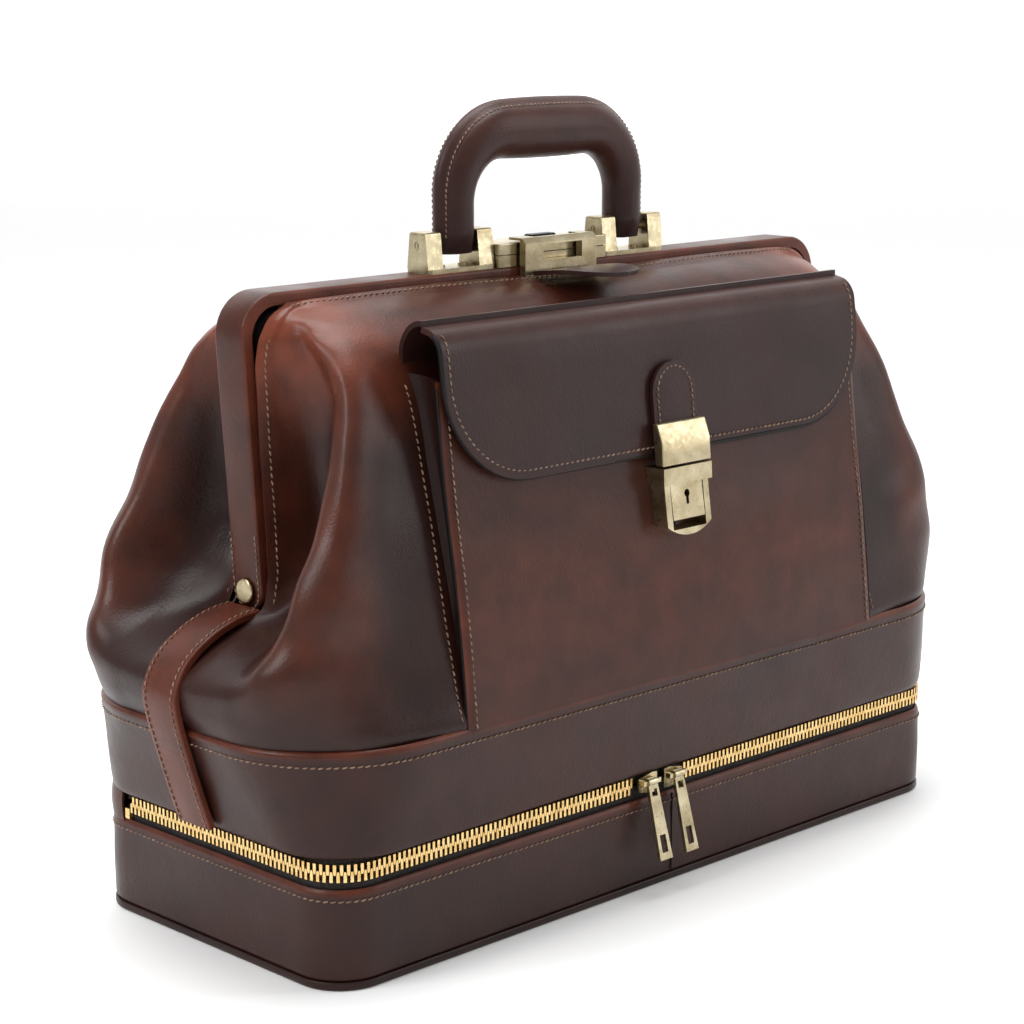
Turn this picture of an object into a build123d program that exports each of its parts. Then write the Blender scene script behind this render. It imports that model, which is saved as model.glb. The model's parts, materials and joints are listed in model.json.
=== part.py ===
from build123d import *

import math
import os

# Doctor bag: a framed leather bag with a zipped compartment under it.
# Millimetres. The origin is the middle of the base on the floor, +X runs along
# the bag, the front faces -Y and +Z is up.

os.makedirs("parts", exist_ok=True)

# ---------------------------------------------------------------- dimensions
base_length = 420.0
base_depth = 172.0
base_corner = 23.0
bottom_thickness = 4.0
lower_wall_top = 44.5
leather = 2.2
board = 2.5
cloth = 0.8

chain_z = 52.5

band_bottom = 58.0
band_top = 105.0
band_length_low = 424.0
band_depth_low = 176.0
band_length_top = 454.0
band_depth_top = 187.0
band_corner_low = 26.0
band_corner_top = 60.0

frame_top = 289.5
frame_half_low = 184.0
frame_low_z = 150.0
frame_lean = 0.0665
frame_corner = 19.0
cover_half_width = 9.6
steel_half_width = 7.4
rivet_z = 158.5
rivet_radius = 3.0
running_gap = 0.06
front_edge_y = 11.0
back_edge_y = 10.2
split_z = 262.0

hardware_x = -3.0
bracket_spacing = 58.0
bracket_length = 42.0
post_width = 9.5
handle_pin_z = 302.0
handle_pin_radius = 2.0

pocket_half = 140.0
fold_y = -65.5
fold_z = 264.0
fold_radius = 12.8
flap_leather = 2.6
flap_low_z = 208.0

tooth_pitch = 2.85
tooth_height = 3.9
tooth_depth = 2.2

top_lock_low = frame_top
top_lock_half = 36.5


def write(builder, name):
    builder.part.label = name
    export_step(builder.part, f"parts/{name}.step")


def rounded_ring(length, depth, corner, wall, low, high):
    """An upright wall that follows a rounded rectangle."""
    with BuildPart() as ring:
        with BuildSketch(Plane.XY.offset(low)):
            RectangleRounded(length, depth, corner)
            RectangleRounded(length - 2 * wall, depth - 2 * wall, corner - wall, mode=Mode.SUBTRACT)
        extrude(amount=high - low)
    return ring


# ============================================================ lower compartment
with BuildPart() as bottom_leather:
    with BuildSketch():
        RectangleRounded(base_length, base_depth, base_corner)
    extrude(amount=bottom_thickness)
    fillet(bottom_leather.faces().sort_by(Axis.Z)[0].edges(), 1.6)
write(bottom_leather, "bottom_leather")

board_inset = 2 * (leather + 1.6 + cloth)
with BuildPart() as bottom_board:
    with BuildSketch(Plane.XY.offset(bottom_thickness)):
        RectangleRounded(base_length - board_inset, base_depth - board_inset, base_corner - 5)
    extrude(amount=board)
write(bottom_board, "bottom_board")

lower_wall = rounded_ring(
    base_length - 1, base_depth - 1, base_corner, leather, bottom_thickness, lower_wall_top)
write(lower_wall, "lower_wall_leather")

stiffener_length = base_length - 1 - 2 * leather
stiffener_depth = base_depth - 1 - 2 * leather
stiffener_top = 38.0
lower_stiffener = rounded_ring(
    stiffener_length, stiffener_depth, base_corner - leather, 1.5, bottom_thickness, stiffener_top)
write(lower_stiffener, "lower_wall_stiffener")

lining_low = bottom_thickness + board
with BuildPart() as lower_lining:
    with BuildSketch(Plane.XY.offset(lining_low)):
        RectangleRounded(stiffener_length - 3.2, stiffener_depth - 3.2, 19)
    extrude(amount=37.0 - lining_low)
    with BuildSketch(Plane.XY.offset(lining_low + cloth)):
        RectangleRounded(stiffener_length - 4.8, stiffener_depth - 4.8, 18)
    extrude(amount=37.0, mode=Mode.SUBTRACT)
write(lower_lining, "lower_lining")

# ------------------------------------------------------------------- zipper
tape_half_x = 206.6
tape_half_y = 82.6
tape_corner = 20.0
tape_thickness = 0.8
chain_outset = (tape_thickness + tooth_depth) / 2 + 0.22
chain_half_x = tape_half_x + chain_outset
chain_half_y = tape_half_y + chain_outset
chain_corner = tape_corner + chain_outset
chain_end_y = 58.0
side_run = chain_end_y + chain_half_y - chain_corner
corner_run = math.pi / 2 * chain_corner
front_run = 2 * (chain_half_x - chain_corner)
chain_length = 2 * side_run + 2 * corner_run + front_run
sliders_low_x = -27.0
sliders_high_x = 7.5


def chain_point(distance):
    """Place and heading on the zipper's line, from the back left to the back right."""
    corner_x = chain_half_x - chain_corner
    corner_y = chain_half_y - chain_corner
    if distance > chain_length / 2:
        x, y, heading = chain_point(chain_length - distance)
        return -x, y, -heading
    if distance <= side_run:
        return -chain_half_x, chain_end_y - distance, -90.0
    if distance <= side_run + corner_run:
        turn = (distance - side_run) / chain_corner
        x = -corner_x - chain_corner * math.cos(turn)
        y = -corner_y - chain_corner * math.sin(turn)
        return x, y, -90.0 + math.degrees(turn)
    return -corner_x + distance - side_run - corner_run, -chain_half_y, 0.0


def tape(low, high):
    """Half of the zipper's tape: a strip along the front and both ends."""
    outer = tape_thickness
    with BuildPart() as strip:
        with BuildSketch(Plane.XY.offset(low)):
            RectangleRounded(2 * tape_half_x + outer, 2 * tape_half_y + outer, tape_corner)
            RectangleRounded(
                2 * tape_half_x - outer, 2 * tape_half_y - outer, tape_corner - outer,
                mode=Mode.SUBTRACT)
            with Locations((0, chain_end_y + 4 + 50)):
                Rectangle(2 * tape_half_x + 10, 100, mode=Mode.SUBTRACT)
        extrude(amount=high - low)
    return strip


def teeth(upper):
    """One row of separate teeth. The two rows interlock on the chain's middle line."""
    side = 1 if upper else -1
    reach = 0.75
    with BuildPart(mode=Mode.PRIVATE) as tooth:
        with BuildSketch(Plane.XZ):
            with BuildLine():
                Polyline(
                    (-0.7, side * tooth_height), (-0.7, side * 1.0), (-0.6, 0), (-0.45, -side * reach),
                    (0.45, -side * reach), (0.6, 0), (0.7, side * 1.0), (0.7, side * tooth_height),
                    close=True)
            make_face()
        extrude(amount=tooth_depth / 2, both=True)
    spots = []
    count = int(chain_length / tooth_pitch) - 1
    for index in range(count):
        distance = (index + (1.0 if upper else 0.5)) * tooth_pitch
        x, y, heading = chain_point(distance)
        under_slider = y < -80 and sliders_low_x < x < sliders_high_x
        if not under_slider:
            spots.append(Location((x, y, chain_z), (0, 0, heading)))
    with BuildPart() as row:
        add([tooth.part.moved(spot) for spot in spots])
    return row


write(tape(38.5, 51.2), "lower_zipper_tape")
write(tape(53.8, 63.0), "upper_zipper_tape")
write(teeth(upper=False), "lower_zipper_teeth")
write(teeth(upper=True), "upper_zipper_teeth")

stop_z = 47.6
stop_x = chain_half_x
with BuildPart() as end_stops:
    with Locations((-stop_x, chain_end_y + 2, stop_z), (stop_x, chain_end_y + 2, stop_z)):
        Box(2.0, 3.2, 5.4)
    fillet(end_stops.edges().filter_by(Axis.Y), 0.6)
write(end_stops, "zipper_end_stops")

hinge_front_y = 62.5
hinge_ring = rounded_ring(
    base_length - 0.6, base_depth - 0.4, base_corner, 1.6, lower_wall_top + 0.3, band_bottom - 0.3)
with BuildPart() as hinge_leather:
    add(hinge_ring.part)
    with Locations((0, hinge_front_y - 100, chain_z)):
        Box(base_length + 10, 200, 30, mode=Mode.SUBTRACT)
write(hinge_leather, "hinge_leather")


bail_z = chain_z + 1.5
bail_y = -chain_half_y - tooth_depth / 2 - 0.3 - 3.9


def slider(direction):
    """A slider body: front and back plates on a post, and a bail for the puller.

    direction is -1 for the left slider and +1 for the right one. Its wide head
    faces the other slider.
    """
    middle = -9.5 + direction * 8.2
    head = middle - direction * 5.6
    tail = middle + direction * 6.8
    front = -chain_half_y - tooth_depth / 2 - 0.3
    back = -tape_half_y + tape_thickness / 2 + 0.3
    with BuildPart() as body:
        with BuildSketch(Plane.XZ.offset(-front)):
            with BuildLine():
                Polyline(
                    (head, chain_z + 4.6), (head + direction * 3.4, chain_z + 5.0),
                    (tail, chain_z + 3.2), (tail, chain_z - 3.2),
                    (head + direction * 3.4, chain_z - 5.0), (head, chain_z - 4.6), close=True)
            make_face()
        extrude(amount=1.5)
        with BuildSketch(Plane.XZ.offset(-back - 0.9)):
            with Locations(((head + tail) / 2, chain_z)):
                Rectangle(abs(tail - head), 8.0)
        extrude(amount=0.9)
        with BuildSketch(Plane.XZ.offset(-back)):
            with Locations((head + direction * 1.2, chain_z)):
                Rectangle(2.2, 2.0)
        extrude(amount=back - front)
        leg_y = (front - 1.5 + bail_y - 0.8) / 2
        leg_depth = front - 1.5 - (bail_y - 0.8)
        with Locations(
                (head + direction * 1.6, leg_y, bail_z), (tail - direction * 1.0, leg_y, bail_z)):
            Box(2.0, leg_depth, 2.2)
        with Locations(((head + tail) / 2, bail_y, bail_z)):
            Cylinder(0.8, abs(tail - head) - 3.0, rotation=(0, 90, 0))
    return body


write(slider(-1), "slider_left")
write(slider(1), "slider_right")

puller_length = 37.0
puller_lean = 15.0


def puller(direction):
    """A flat puller that hangs from the slider's bail and leans on the wall's edge."""
    middle = -9.5 + direction * 9.1
    lean = math.radians(puller_lean)
    pivot = Plane(
        origin=(middle, bail_y, bail_z), x_dir=(1, 0, 0), z_dir=(0, -math.cos(lean), math.sin(lean)))
    with BuildPart() as plate:
        with BuildSketch(pivot.offset(-0.9)):
            with BuildLine():
                Polyline(
                    (-3.0, 2.0), (3.0, 2.0), (4.2, -puller_length), (-4.2, -puller_length), close=True)
            make_face()
            with Locations((0, -puller_length + 7.5)):
                Rectangle(4.0, 8.4, mode=Mode.SUBTRACT)
            with Locations((0, -5.2)):
                Rectangle(3.6, 3.4, mode=Mode.SUBTRACT)
        extrude(amount=1.8)
        with Locations(Location(pivot.origin)):
            Cylinder(1.9, 6.0, rotation=(0, 90, 0))
            Cylinder(0.86, 10.0, rotation=(0, 90, 0), mode=Mode.SUBTRACT)
    return plate


write(puller(-1), "puller_left")
write(puller(1), "puller_right")

# ========================================================= main compartment
with BuildPart() as floor_board:
    with BuildSketch(Plane.XY.offset(59.0)):
        RectangleRounded(2 * tape_half_x - 3, 2 * tape_half_y - 3, tape_corner - 2)
    extrude(amount=board)
write(floor_board, "floor_board")

with BuildPart() as floor_lining:
    with BuildSketch(Plane.XY.offset(59.0 - cloth)):
        RectangleRounded(2 * tape_half_x - 4, 2 * tape_half_y - 4, tape_corner - 2)
    extrude(amount=cloth)
write(floor_lining, "floor_lining")

with BuildPart() as lower_band:
    with BuildSketch(Plane.XY.offset(band_bottom)):
        RectangleRounded(band_length_low, band_depth_low, band_corner_low)
    with BuildSketch(Plane.XY.offset(band_top)):
        RectangleRounded(band_length_top, band_depth_top, band_corner_top)
    loft()
    with BuildSketch(Plane.XY.offset(band_bottom)):
        RectangleRounded(
            band_length_low - 2 * leather, band_depth_low - 2 * leather, band_corner_low - leather)
    with BuildSketch(Plane.XY.offset(band_top)):
        RectangleRounded(
            band_length_top - 2 * leather, band_depth_top - 2 * leather, band_corner_top - leather)
    loft(mode=Mode.SUBTRACT)
write(lower_band, "lower_band")

# The body leather's outline at a few heights, for one corner: half length at the
# middle of the end, the fold beside the frame, the ear's inner flank, the ear's
# tip, its turn to the front, and the front face.
outline = {
    105.0: (222.0, (222.0, 30), (220.5, 46), (214.0, 64), (197.0, 81), (158, 89.5), 91.0),
    125.0: (223.0, (226.0, 28), (231.0, 42), (229.0, 59), (207.0, 78), (160, 86.0), 87.5),
    145.0: (190.0, (197.0, 28), (222.0, 40), (232.0, 56), (212.0, 75), (163, 82.0), 83.0),
    167.0: (182.0, (169.0, 28), (200.0, 43), (226.0, 60), (208.0, 74), (163, 78.5), 78.5),
    192.0: (182.0, (162.0, 28), (189.0, 43), (212.0, 60), (199.0, 70), (160, 73.0), 72.5),
    218.0: (182.5, (163.0, 27), (184.0, 41), (204.0, 57), (191.0, 66), (155, 67.0), 66.0),
    243.0: (183.5, (168.0, 26), (184.0, 38), (198.0, 52), (186.0, 60.5), (150, 60.5), 58.5),
    264.0: (182.0, (174.0, 22), (181.0, 32), (188.0, 42), (178.0, 49.5), (146, 50.5), 50.0),
    276.0: (174.0, (172.0, 18), (173.0, 25), (173.0, 32), (164.0, 37), (138, 39), 39.0),
    282.5: (162.0, (161.0, 14), (160.0, 17), (157.0, 19.5), (150.0, 21), (125, 22), 22.0),
}


def bag_outline(height, inset):
    """The outline's points from the left end's middle to the right end's middle."""
    end, fold, flank, tip, turn, face, front = outline[height]
    half = [(end, 0), (end, 12), fold, flank, tip, turn, face]
    left = [Vector(-x, -y) for x, y in half]
    points = left + [Vector(0, -front)] + [Vector(-p.X, p.Y) for p in reversed(left)]
    moved = []
    for index, point in enumerate(points):
        before = points[max(index - 1, 0)]
        after = points[min(index + 1, len(points) - 1)]
        along = (after - before).normalized()
        moved.append(point + Vector(-along.Y, along.X) * inset)
    moved[0] = Vector(moved[0].X, 0)
    moved[-1] = Vector(moved[-1].X, 0)
    return moved


def bag_half(inset, drop):
    """The front half of the bag's body as a solid, inset from its outer face."""
    with BuildPart() as half:
        for height in outline:
            if height < band_top + 1:
                level = height - (0.01 if inset else 0)
            else:
                level = height - drop * (height - band_top) / (282.5 - band_top)
            points = bag_outline(height, inset)
            with BuildSketch(Plane.XY.offset(level)):
                with BuildLine():
                    Spline(*points)
                    Line(points[-1], points[0])
                make_face()
        loft()
    return half


outer_half = bag_half(0, 0)
inner_half = bag_half(leather, leather)
shell_cut_low = 148.0
notch_x = (-29.0, 23.0)

with BuildPart() as front_leather:
    add(outer_half.part)
    add(inner_half.part, mode=Mode.SUBTRACT)
    with Locations((0, 0, (shell_cut_low + 300) / 2)):
        Box(600, 2 * front_edge_y, 300 - shell_cut_low, mode=Mode.SUBTRACT)
    with Locations((sum(notch_x) / 2, -front_edge_y, 280)):
        Box(notch_x[1] - notch_x[0], 5.0, 10, mode=Mode.SUBTRACT)
write(front_leather, "front_leather")

with BuildPart() as back_shell:
    mirror(outer_half.part, about=Plane.XZ)
    add(mirror(inner_half.part, about=Plane.XZ), mode=Mode.SUBTRACT)
    with Locations((0, 0, (shell_cut_low + 300) / 2)):
        Box(600, 2 * back_edge_y, 300 - shell_cut_low, mode=Mode.SUBTRACT)

with BuildPart() as back_leather:
    add(back_shell.part)
    split(bisect_by=Plane.XY.offset(split_z), keep=Keep.BOTTOM)
write(back_leather, "back_leather")

with BuildPart() as back_leather_top:
    add(back_shell.part)
    split(bisect_by=Plane.XY.offset(split_z + 0.6), keep=Keep.TOP)
write(back_leather_top, "back_leather_top")

with BuildPart() as main_lining:
    with BuildSketch(Plane.XY.offset(62.0)):
        RectangleRounded(404, 158, 20)
    with BuildSketch(Plane.XY.offset(130.0)):
        RectangleRounded(402, 147, 24)
    with BuildSketch(Plane.XY.offset(158.0)):
        RectangleRounded(322, 140, 20)
    with BuildSketch(Plane.XY.offset(250.0)):
        RectangleRounded(314, 96, 16)
    loft(ruled=True)
    with BuildSketch(Plane.XY.offset(62.0 + cloth)):
        RectangleRounded(404 - 2 * cloth, 158 - 2 * cloth, 19)
    with BuildSketch(Plane.XY.offset(130.0)):
        RectangleRounded(402 - 2 * cloth, 147 - 2 * cloth, 23)
    with BuildSketch(Plane.XY.offset(158.0)):
        RectangleRounded(322 - 2 * cloth, 140 - 2 * cloth, 19)
    with BuildSketch(Plane.XY.offset(250.0)):
        RectangleRounded(314 - 2 * cloth, 96 - 2 * cloth, 15)
    loft(ruled=True, mode=Mode.SUBTRACT)
write(main_lining, "main_lining")

# The strap over each end's seam, from under the frame's foot down to the zipper.
strap_outer = [(-188, 150.2), (-209, 147.6), (-232.5, 130), (-236, 112), (-226.5, 85), (-216, 58.5)]


def end_strap(side):
    with BuildPart() as strap:
        with BuildSketch(Plane.XZ):
            with BuildLine():
                outer = Spline(*[(-side * x, z) for x, z in strap_outer])
                inner = Spline(*[(-side * (x + 1.6), z - 1.4) for x, z in strap_outer])
                Line(outer @ 0, inner @ 0)
                Line(outer @ 1, inner @ 1)
            make_face()
        extrude(amount=11.5, both=True)
    return strap


write(end_strap(-1), "end_strap_left")
write(end_strap(1), "end_strap_right")


# =================================================================== frame
def frame_band(outset, inset, y_low, y_high):
    """A U shaped band between two insets from the cover's outer face."""
    def arch(amount):
        top = frame_top - amount
        low = frame_low_z - 14
        half_top = frame_half_low + frame_lean * (top - frame_low_z) - amount
        half_low = frame_half_low + frame_lean * (low - frame_low_z) - amount
        corner = max(frame_corner - 0.8 * amount, 6)
        return [(-half_low, low), (-half_top, top), (half_top, top), (half_low, low)], corner

    outer_points, outer_corner = arch(outset)
    inner_points, inner_corner = arch(inset)
    with BuildPart() as band:
        with BuildSketch(Plane.XZ.offset(-y_high)):
            with BuildLine():
                path = FilletPolyline(*outer_points, radius=outer_corner)
                Line(path @ 1, path @ 0)
            make_face()
            with BuildLine():
                path = FilletPolyline(*inner_points, radius=inner_corner)
                Line(path @ 1, path @ 0)
            make_face(mode=Mode.SUBTRACT)
        extrude(amount=y_high - y_low)
    return band


def foot_shape(half_width, top=300.0):
    """What bounds a frame seen from the end: upright edges over a round foot."""
    with BuildPart() as foot:
        with BuildSketch(Plane.YZ):
            with Locations((0, (rivet_z + top) / 2)):
                Rectangle(2 * half_width, top - rivet_z)
            with Locations((0, rivet_z)):
                Circle(half_width)
        extrude(amount=250, both=True)
    return foot


with BuildPart() as rivet_bores:
    with Locations((0, 0, rivet_z)):
        Cylinder(rivet_radius + running_gap, 500, rotation=(0, 90, 0))

with BuildPart() as frame_cover:
    add(frame_band(0, 6.0, -cover_half_width, cover_half_width).part)
    add(frame_band(2.6, 12.0, -steel_half_width, steel_half_width).part, mode=Mode.SUBTRACT)
    add(foot_shape(cover_half_width).part, mode=Mode.INTERSECT)
    add(rivet_bores.part, mode=Mode.SUBTRACT)
write(frame_cover, "frame_cover")

with BuildPart() as rear_frame:
    add(frame_band(2.6, 5.0, -steel_half_width, steel_half_width).part)
    add(foot_shape(steel_half_width).part, mode=Mode.INTERSECT)
    add(rivet_bores.part, mode=Mode.SUBTRACT)
write(rear_frame, "rear_frame")

# The front half is an angle section, with round eyes for the rivets at its feet.
eye_top = 172.0
with BuildPart() as frame_eyes:
    add(frame_band(7.6, 10.4, -9.0, 9.0).part)
    add(foot_shape(9.0, eye_top).part, mode=Mode.INTERSECT)
with BuildPart() as front_frame:
    add(frame_band(7.6, 10.4, -front_edge_y, -1.5).part)
    add(frame_band(7.6, 18.0, -front_edge_y, -front_edge_y + 1.6).part)
    with Locations((0, 0, rivet_z - 50)):
        Box(500, 100, 100, mode=Mode.SUBTRACT)
    add(frame_eyes.part)
    add(rivet_bores.part, mode=Mode.SUBTRACT)
write(front_frame, "front_frame")

rivet_head_radius = 5.6
foot_outer_x = frame_half_low + frame_lean * (rivet_z - frame_low_z)
with BuildPart() as frame_rivets:
    for side in (-1, 1):
        with Locations((side * (foot_outer_x - 4.9), 0, rivet_z)):
            Cylinder(rivet_radius, 13.0, rotation=(0, 90, 0))
        with Locations((side * (foot_outer_x + 1.6), 0, rivet_z)):
            Cylinder(rivet_head_radius, 1.4, rotation=(0, 90, 0))
        with Locations((side * (foot_outer_x - 11.5), 0, rivet_z)):
            Cylinder(4.6, 1.4, rotation=(0, 90, 0))
    fillet(frame_rivets.faces().sort_by(Axis.X)[0].edges(), 0.9)
    fillet(frame_rivets.faces().sort_by(Axis.X)[-1].edges(), 0.9)
write(frame_rivets, "frame_rivets")

# =========================================================== handle brackets
plate_thickness = 2.0
plate_half_width = 8.0


def bracket(side):
    """A plate with two wedge shaped posts that hold the handle's pin."""
    middle = hardware_x + side * bracket_spacing
    with BuildPart() as base:
        with Locations((middle, 0, frame_top + plate_thickness / 2)):
            Box(bracket_length, 2 * plate_half_width, plate_thickness)
        fillet(base.edges().filter_by(Axis.Z), 2.0)
        for end in (-1, 1):
            post_x = middle + end * (bracket_length - post_width) / 2
            with BuildSketch(Plane.YZ.offset(post_x - post_width / 2)):
                with BuildLine():
                    Polyline(
                        (-5.2, 308.2), (-7.0, frame_top + plate_thickness),
                        (7.0, frame_top + plate_thickness), (5.2, 308.2), close=True)
                make_face()
            extrude(amount=post_width)
        fillet(base.faces().sort_by(Axis.Z)[-1].edges(), 1.2)
        fillet(base.faces().sort_by(Axis.Z)[-1].edges(), 1.2)
        with Locations((middle, 0, handle_pin_z)):
            Cylinder(handle_pin_radius, bracket_length + 2, rotation=(0, 90, 0), mode=Mode.SUBTRACT)
    return base


write(bracket(-1), "bracket_left")
write(bracket(1), "bracket_right")

with BuildPart() as handle_pins:
    for side in (-1, 1):
        with Locations((hardware_x + side * bracket_spacing, 0, handle_pin_z)):
            Cylinder(handle_pin_radius, bracket_length - 0.6, rotation=(0, 90, 0))
        with Locations((hardware_x + side * bracket_spacing, 0, handle_pin_z)):
            Box(bracket_length + 2, 0.7, 2.4, mode=Mode.SUBTRACT)
            Cylinder(handle_pin_radius, bracket_length - 2.2, rotation=(0, 90, 0))
write(handle_pins, "handle_pins")

with BuildPart() as bracket_rivets:
    for side in (-1, 1):
        for end in (-1, 1):
            rivet_x = hardware_x + side * bracket_spacing + end * 7.0
            with Locations((rivet_x, 0, frame_top + plate_thickness + 0.5)):
                Cylinder(2.2, 1.0)
            with Locations((rivet_x, 0, frame_top - 5.6)):
                Cylinder(2.2, 1.0)
write(bracket_rivets, "bracket_rivets")

# =================================================================== handle
leg_x = 56.5
leg_drop = 5.0
handle_top_z = 352.0
shoulder_z = 322.0
leg_section = (10.0, 8.2)
top_section = (13.6, 11.5)


def handle_station(fraction):
    """Plane and section along the handle's arch, from its left foot to its right foot."""
    corner = handle_top_z - shoulder_z
    straight = shoulder_z - (handle_pin_z - leg_drop)
    across = 2 * (leg_x - corner)
    bend = math.pi / 2 * corner
    total = 2 * (straight + bend) + across
    along = fraction * total
    mirrored = along > total / 2
    run = total - along if mirrored else along
    if run < straight:
        x, z, turn = -leg_x, handle_pin_z - leg_drop + run, 0.0
    elif run < straight + bend:
        turn = (run - straight) / corner
        x = -leg_x + corner * (1 - math.cos(turn))
        z = shoulder_z + corner * math.sin(turn)
    else:
        x, z, turn = -leg_x + corner + run - straight - bend, handle_top_z, math.pi / 2
    swell = math.sin(math.pi * min(max((fraction - 0.12) / 0.76, 0), 1))
    radial = leg_section[0] + (top_section[0] - leg_section[0]) * swell
    depth = leg_section[1] + (top_section[1] - leg_section[1]) * swell
    if mirrored:
        x, turn = -x, math.pi - turn
    heading = (math.sin(turn), 0, math.cos(turn))
    place = Plane(origin=(hardware_x + x, 0, z), x_dir=(0, 1, 0), z_dir=heading)
    return place, depth, radial


def handle_body(scale):
    with BuildPart() as arch:
        for step in range(15):
            place, depth, radial = handle_station(step / 14)
            with BuildSketch(place):
                Ellipse(depth * scale, radial * scale)
        loft()
    return arch


with BuildPart() as pin_bores:
    with Locations((0, 0, handle_pin_z)):
        Cylinder(handle_pin_radius + running_gap, 300, rotation=(0, 90, 0))

handle_heart = handle_body(0.45)
with BuildPart() as handle_grip:
    add(handle_body(1.0).part)
    add(handle_heart.part, mode=Mode.SUBTRACT)
    add(pin_bores.part, mode=Mode.SUBTRACT)
write(handle_grip, "handle_grip")

with BuildPart() as handle_core:
    add(handle_heart.part)
    add(pin_bores.part, mode=Mode.SUBTRACT)
write(handle_core, "handle_core")

# ================================================================= top lock
lock_parting = top_lock_low + 5.4
lock_high = top_lock_low + 11.0
with BuildPart() as top_lock_base:
    with Locations((hardware_x, 0, (top_lock_low + lock_parting) / 2)):
        Box(2 * top_lock_half, 18.6, lock_parting - top_lock_low)
    fillet(top_lock_base.edges().filter_by(Axis.Z), 1.2)
    with Locations((hardware_x, 1.0, lock_parting)):
        Box(2 * top_lock_half - 6, 11.0, 6.0, mode=Mode.SUBTRACT)
write(top_lock_base, "top_lock_base")

with BuildPart() as top_lock_cover:
    with Locations((hardware_x, 0, (lock_parting + 0.4 + lock_high) / 2)):
        Box(2 * top_lock_half, 18.6, lock_high - lock_parting - 0.4)
    fillet(top_lock_cover.edges().filter_by(Axis.Z), 1.2)
    fillet(top_lock_cover.faces().sort_by(Axis.Z)[-1].edges(), 0.6)
    with Locations((hardware_x, 1.0, lock_parting)):
        Box(2 * top_lock_half - 6, 11.0, 6.0, mode=Mode.SUBTRACT)
    with Locations((hardware_x + 4, 1.0, lock_high)):
        Box(24.0, 6.4, 8.0, mode=Mode.SUBTRACT)
write(top_lock_cover, "top_lock_cover")

button_travel = 6.0
with BuildPart() as top_lock_button:
    with Locations((hardware_x + 1.0, 1.0, lock_high - 1.2)):
        Box(16.0, 5.6, 6.4)
    fillet(top_lock_button.faces().sort_by(Axis.Z)[-1].edges(), 0.7)
    with Locations((hardware_x + 1.0, 1.0, lock_parting - 0.2)):
        Box(34.0, 9.6, 4.4)
write(top_lock_button, "top_lock_button")


def coil(middle, radius, wire, turns, length, direction):
    """A compression spring round a line that starts at the given point."""
    with BuildPart() as spring:
        with BuildLine():
            path = Helix(
                pitch=length / turns, height=length, radius=radius, center=middle,
                direction=direction)
        with BuildSketch(Plane(origin=path @ 0, z_dir=path % 0)):
            Circle(wire)
        sweep()
    return spring


top_spring = coil((hardware_x + 19.0, 1.0, lock_parting - 0.2), 1.5, 0.3, 6, 13.2, (1, 0, 0))
write(top_spring, "top_lock_spring")

# The saddle is fixed to the front frame and hooks over the lock's front.
saddle_left = -27.0
saddle_right = 21.0
saddle_middle = (saddle_left + saddle_right) / 2
saddle_width = saddle_right - saddle_left
with BuildPart() as latch_saddle:
    with BuildSketch(Plane.YZ.offset(saddle_left)):
        with BuildLine():
            Polyline(
                (-front_edge_y, 273.5), (-front_edge_y, 284.6), (-10.6, 285.0), (-10.6, 301.4),
                (-3.4, 301.4), (-3.4, 302.6), (-11.8, 302.6), (-14.4, 300.2), (-14.4, 282.6),
                (-12.6, 282.6), (-12.6, 273.5), close=True)
        make_face()
    extrude(amount=saddle_width)
    with Locations((saddle_middle + 1, -12, 295.6)):
        Box(26, 8, 7.4, mode=Mode.SUBTRACT)
    with Locations((saddle_middle + 1, -5, 302)):
        Box(30, 10, 4, mode=Mode.SUBTRACT)
write(latch_saddle, "latch_saddle")

with BuildPart() as saddle_rivets:
    for rivet_x in (saddle_left + 6, saddle_right - 6):
        with Locations((rivet_x, -9.0, 276.5)):
            Cylinder(2.0, 0.8, rotation=(90, 0, 0))
write(saddle_rivets, "saddle_rivets")

tab_half = 21.5
tab_z = 284.8
tab_back = -15.8
with BuildPart() as pull_tab:
    with BuildSketch(Plane.XY.offset(tab_z)):
        with BuildLine():
            Polyline(
                (saddle_middle - 12, -46), (saddle_middle - tab_half, -34),
                (saddle_middle - tab_half, tab_back), (saddle_middle + tab_half, tab_back),
                (saddle_middle + tab_half, -34), (saddle_middle + 12, -46))
            ThreePointArc((saddle_middle + 12, -46), (saddle_middle, -57), (saddle_middle - 12, -46))
        make_face()
    extrude(amount=2.0)
    fillet(pull_tab.edges().filter_by(Axis.Z), 3.0)
write(pull_tab, "pull_tab")

# =================================================================== pocket
def panel_solid(outer, thickness, half_length):
    """A curved panel: a line of (y, z) points, given a thickness and run along X."""
    with BuildPart() as panel:
        with BuildSketch(Plane.YZ):
            with BuildLine():
                front = Spline(*outer)
                back = Spline(*[(y + thickness, z) for y, z in outer])
                Line(front @ 0, back @ 0)
                Line(front @ 1, back @ 1)
            make_face()
        extrude(amount=half_length, both=True)
    return panel


panel_line = [(-94.2, 105.6), (-91.4, 135), (-87.2, 168), (-82.6, 195), (-78.9, 222), (-75.6, 254)]
pocket_panel = panel_solid(panel_line, leather, pocket_half)
write(pocket_panel, "pocket_panel")

# The gusset is a narrow strip from the panel's edge back to the bag's front.
gusset_front = [(-91.1, 112), (-89.0, 135), (-84.8, 168), (-80.0, 195), (-76.3, 222), (-73.2, 252)]
gusset_back = [(-90.4, 112), (-85.9, 135), (-79.0, 168), (-72.3, 195), (-65.7, 222), (-55.9, 252)]
with BuildPart() as pocket_gusset:
    for side in (-1, 1):
        with BuildSketch(Plane.YZ.offset(side * (pocket_half - 2.0) - 0.7)):
            with BuildLine():
                Polyline(*gusset_front, *reversed(gusset_back), close=True)
            make_face()
        extrude(amount=1.4)
write(pocket_gusset, "pocket_gusset")

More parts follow.
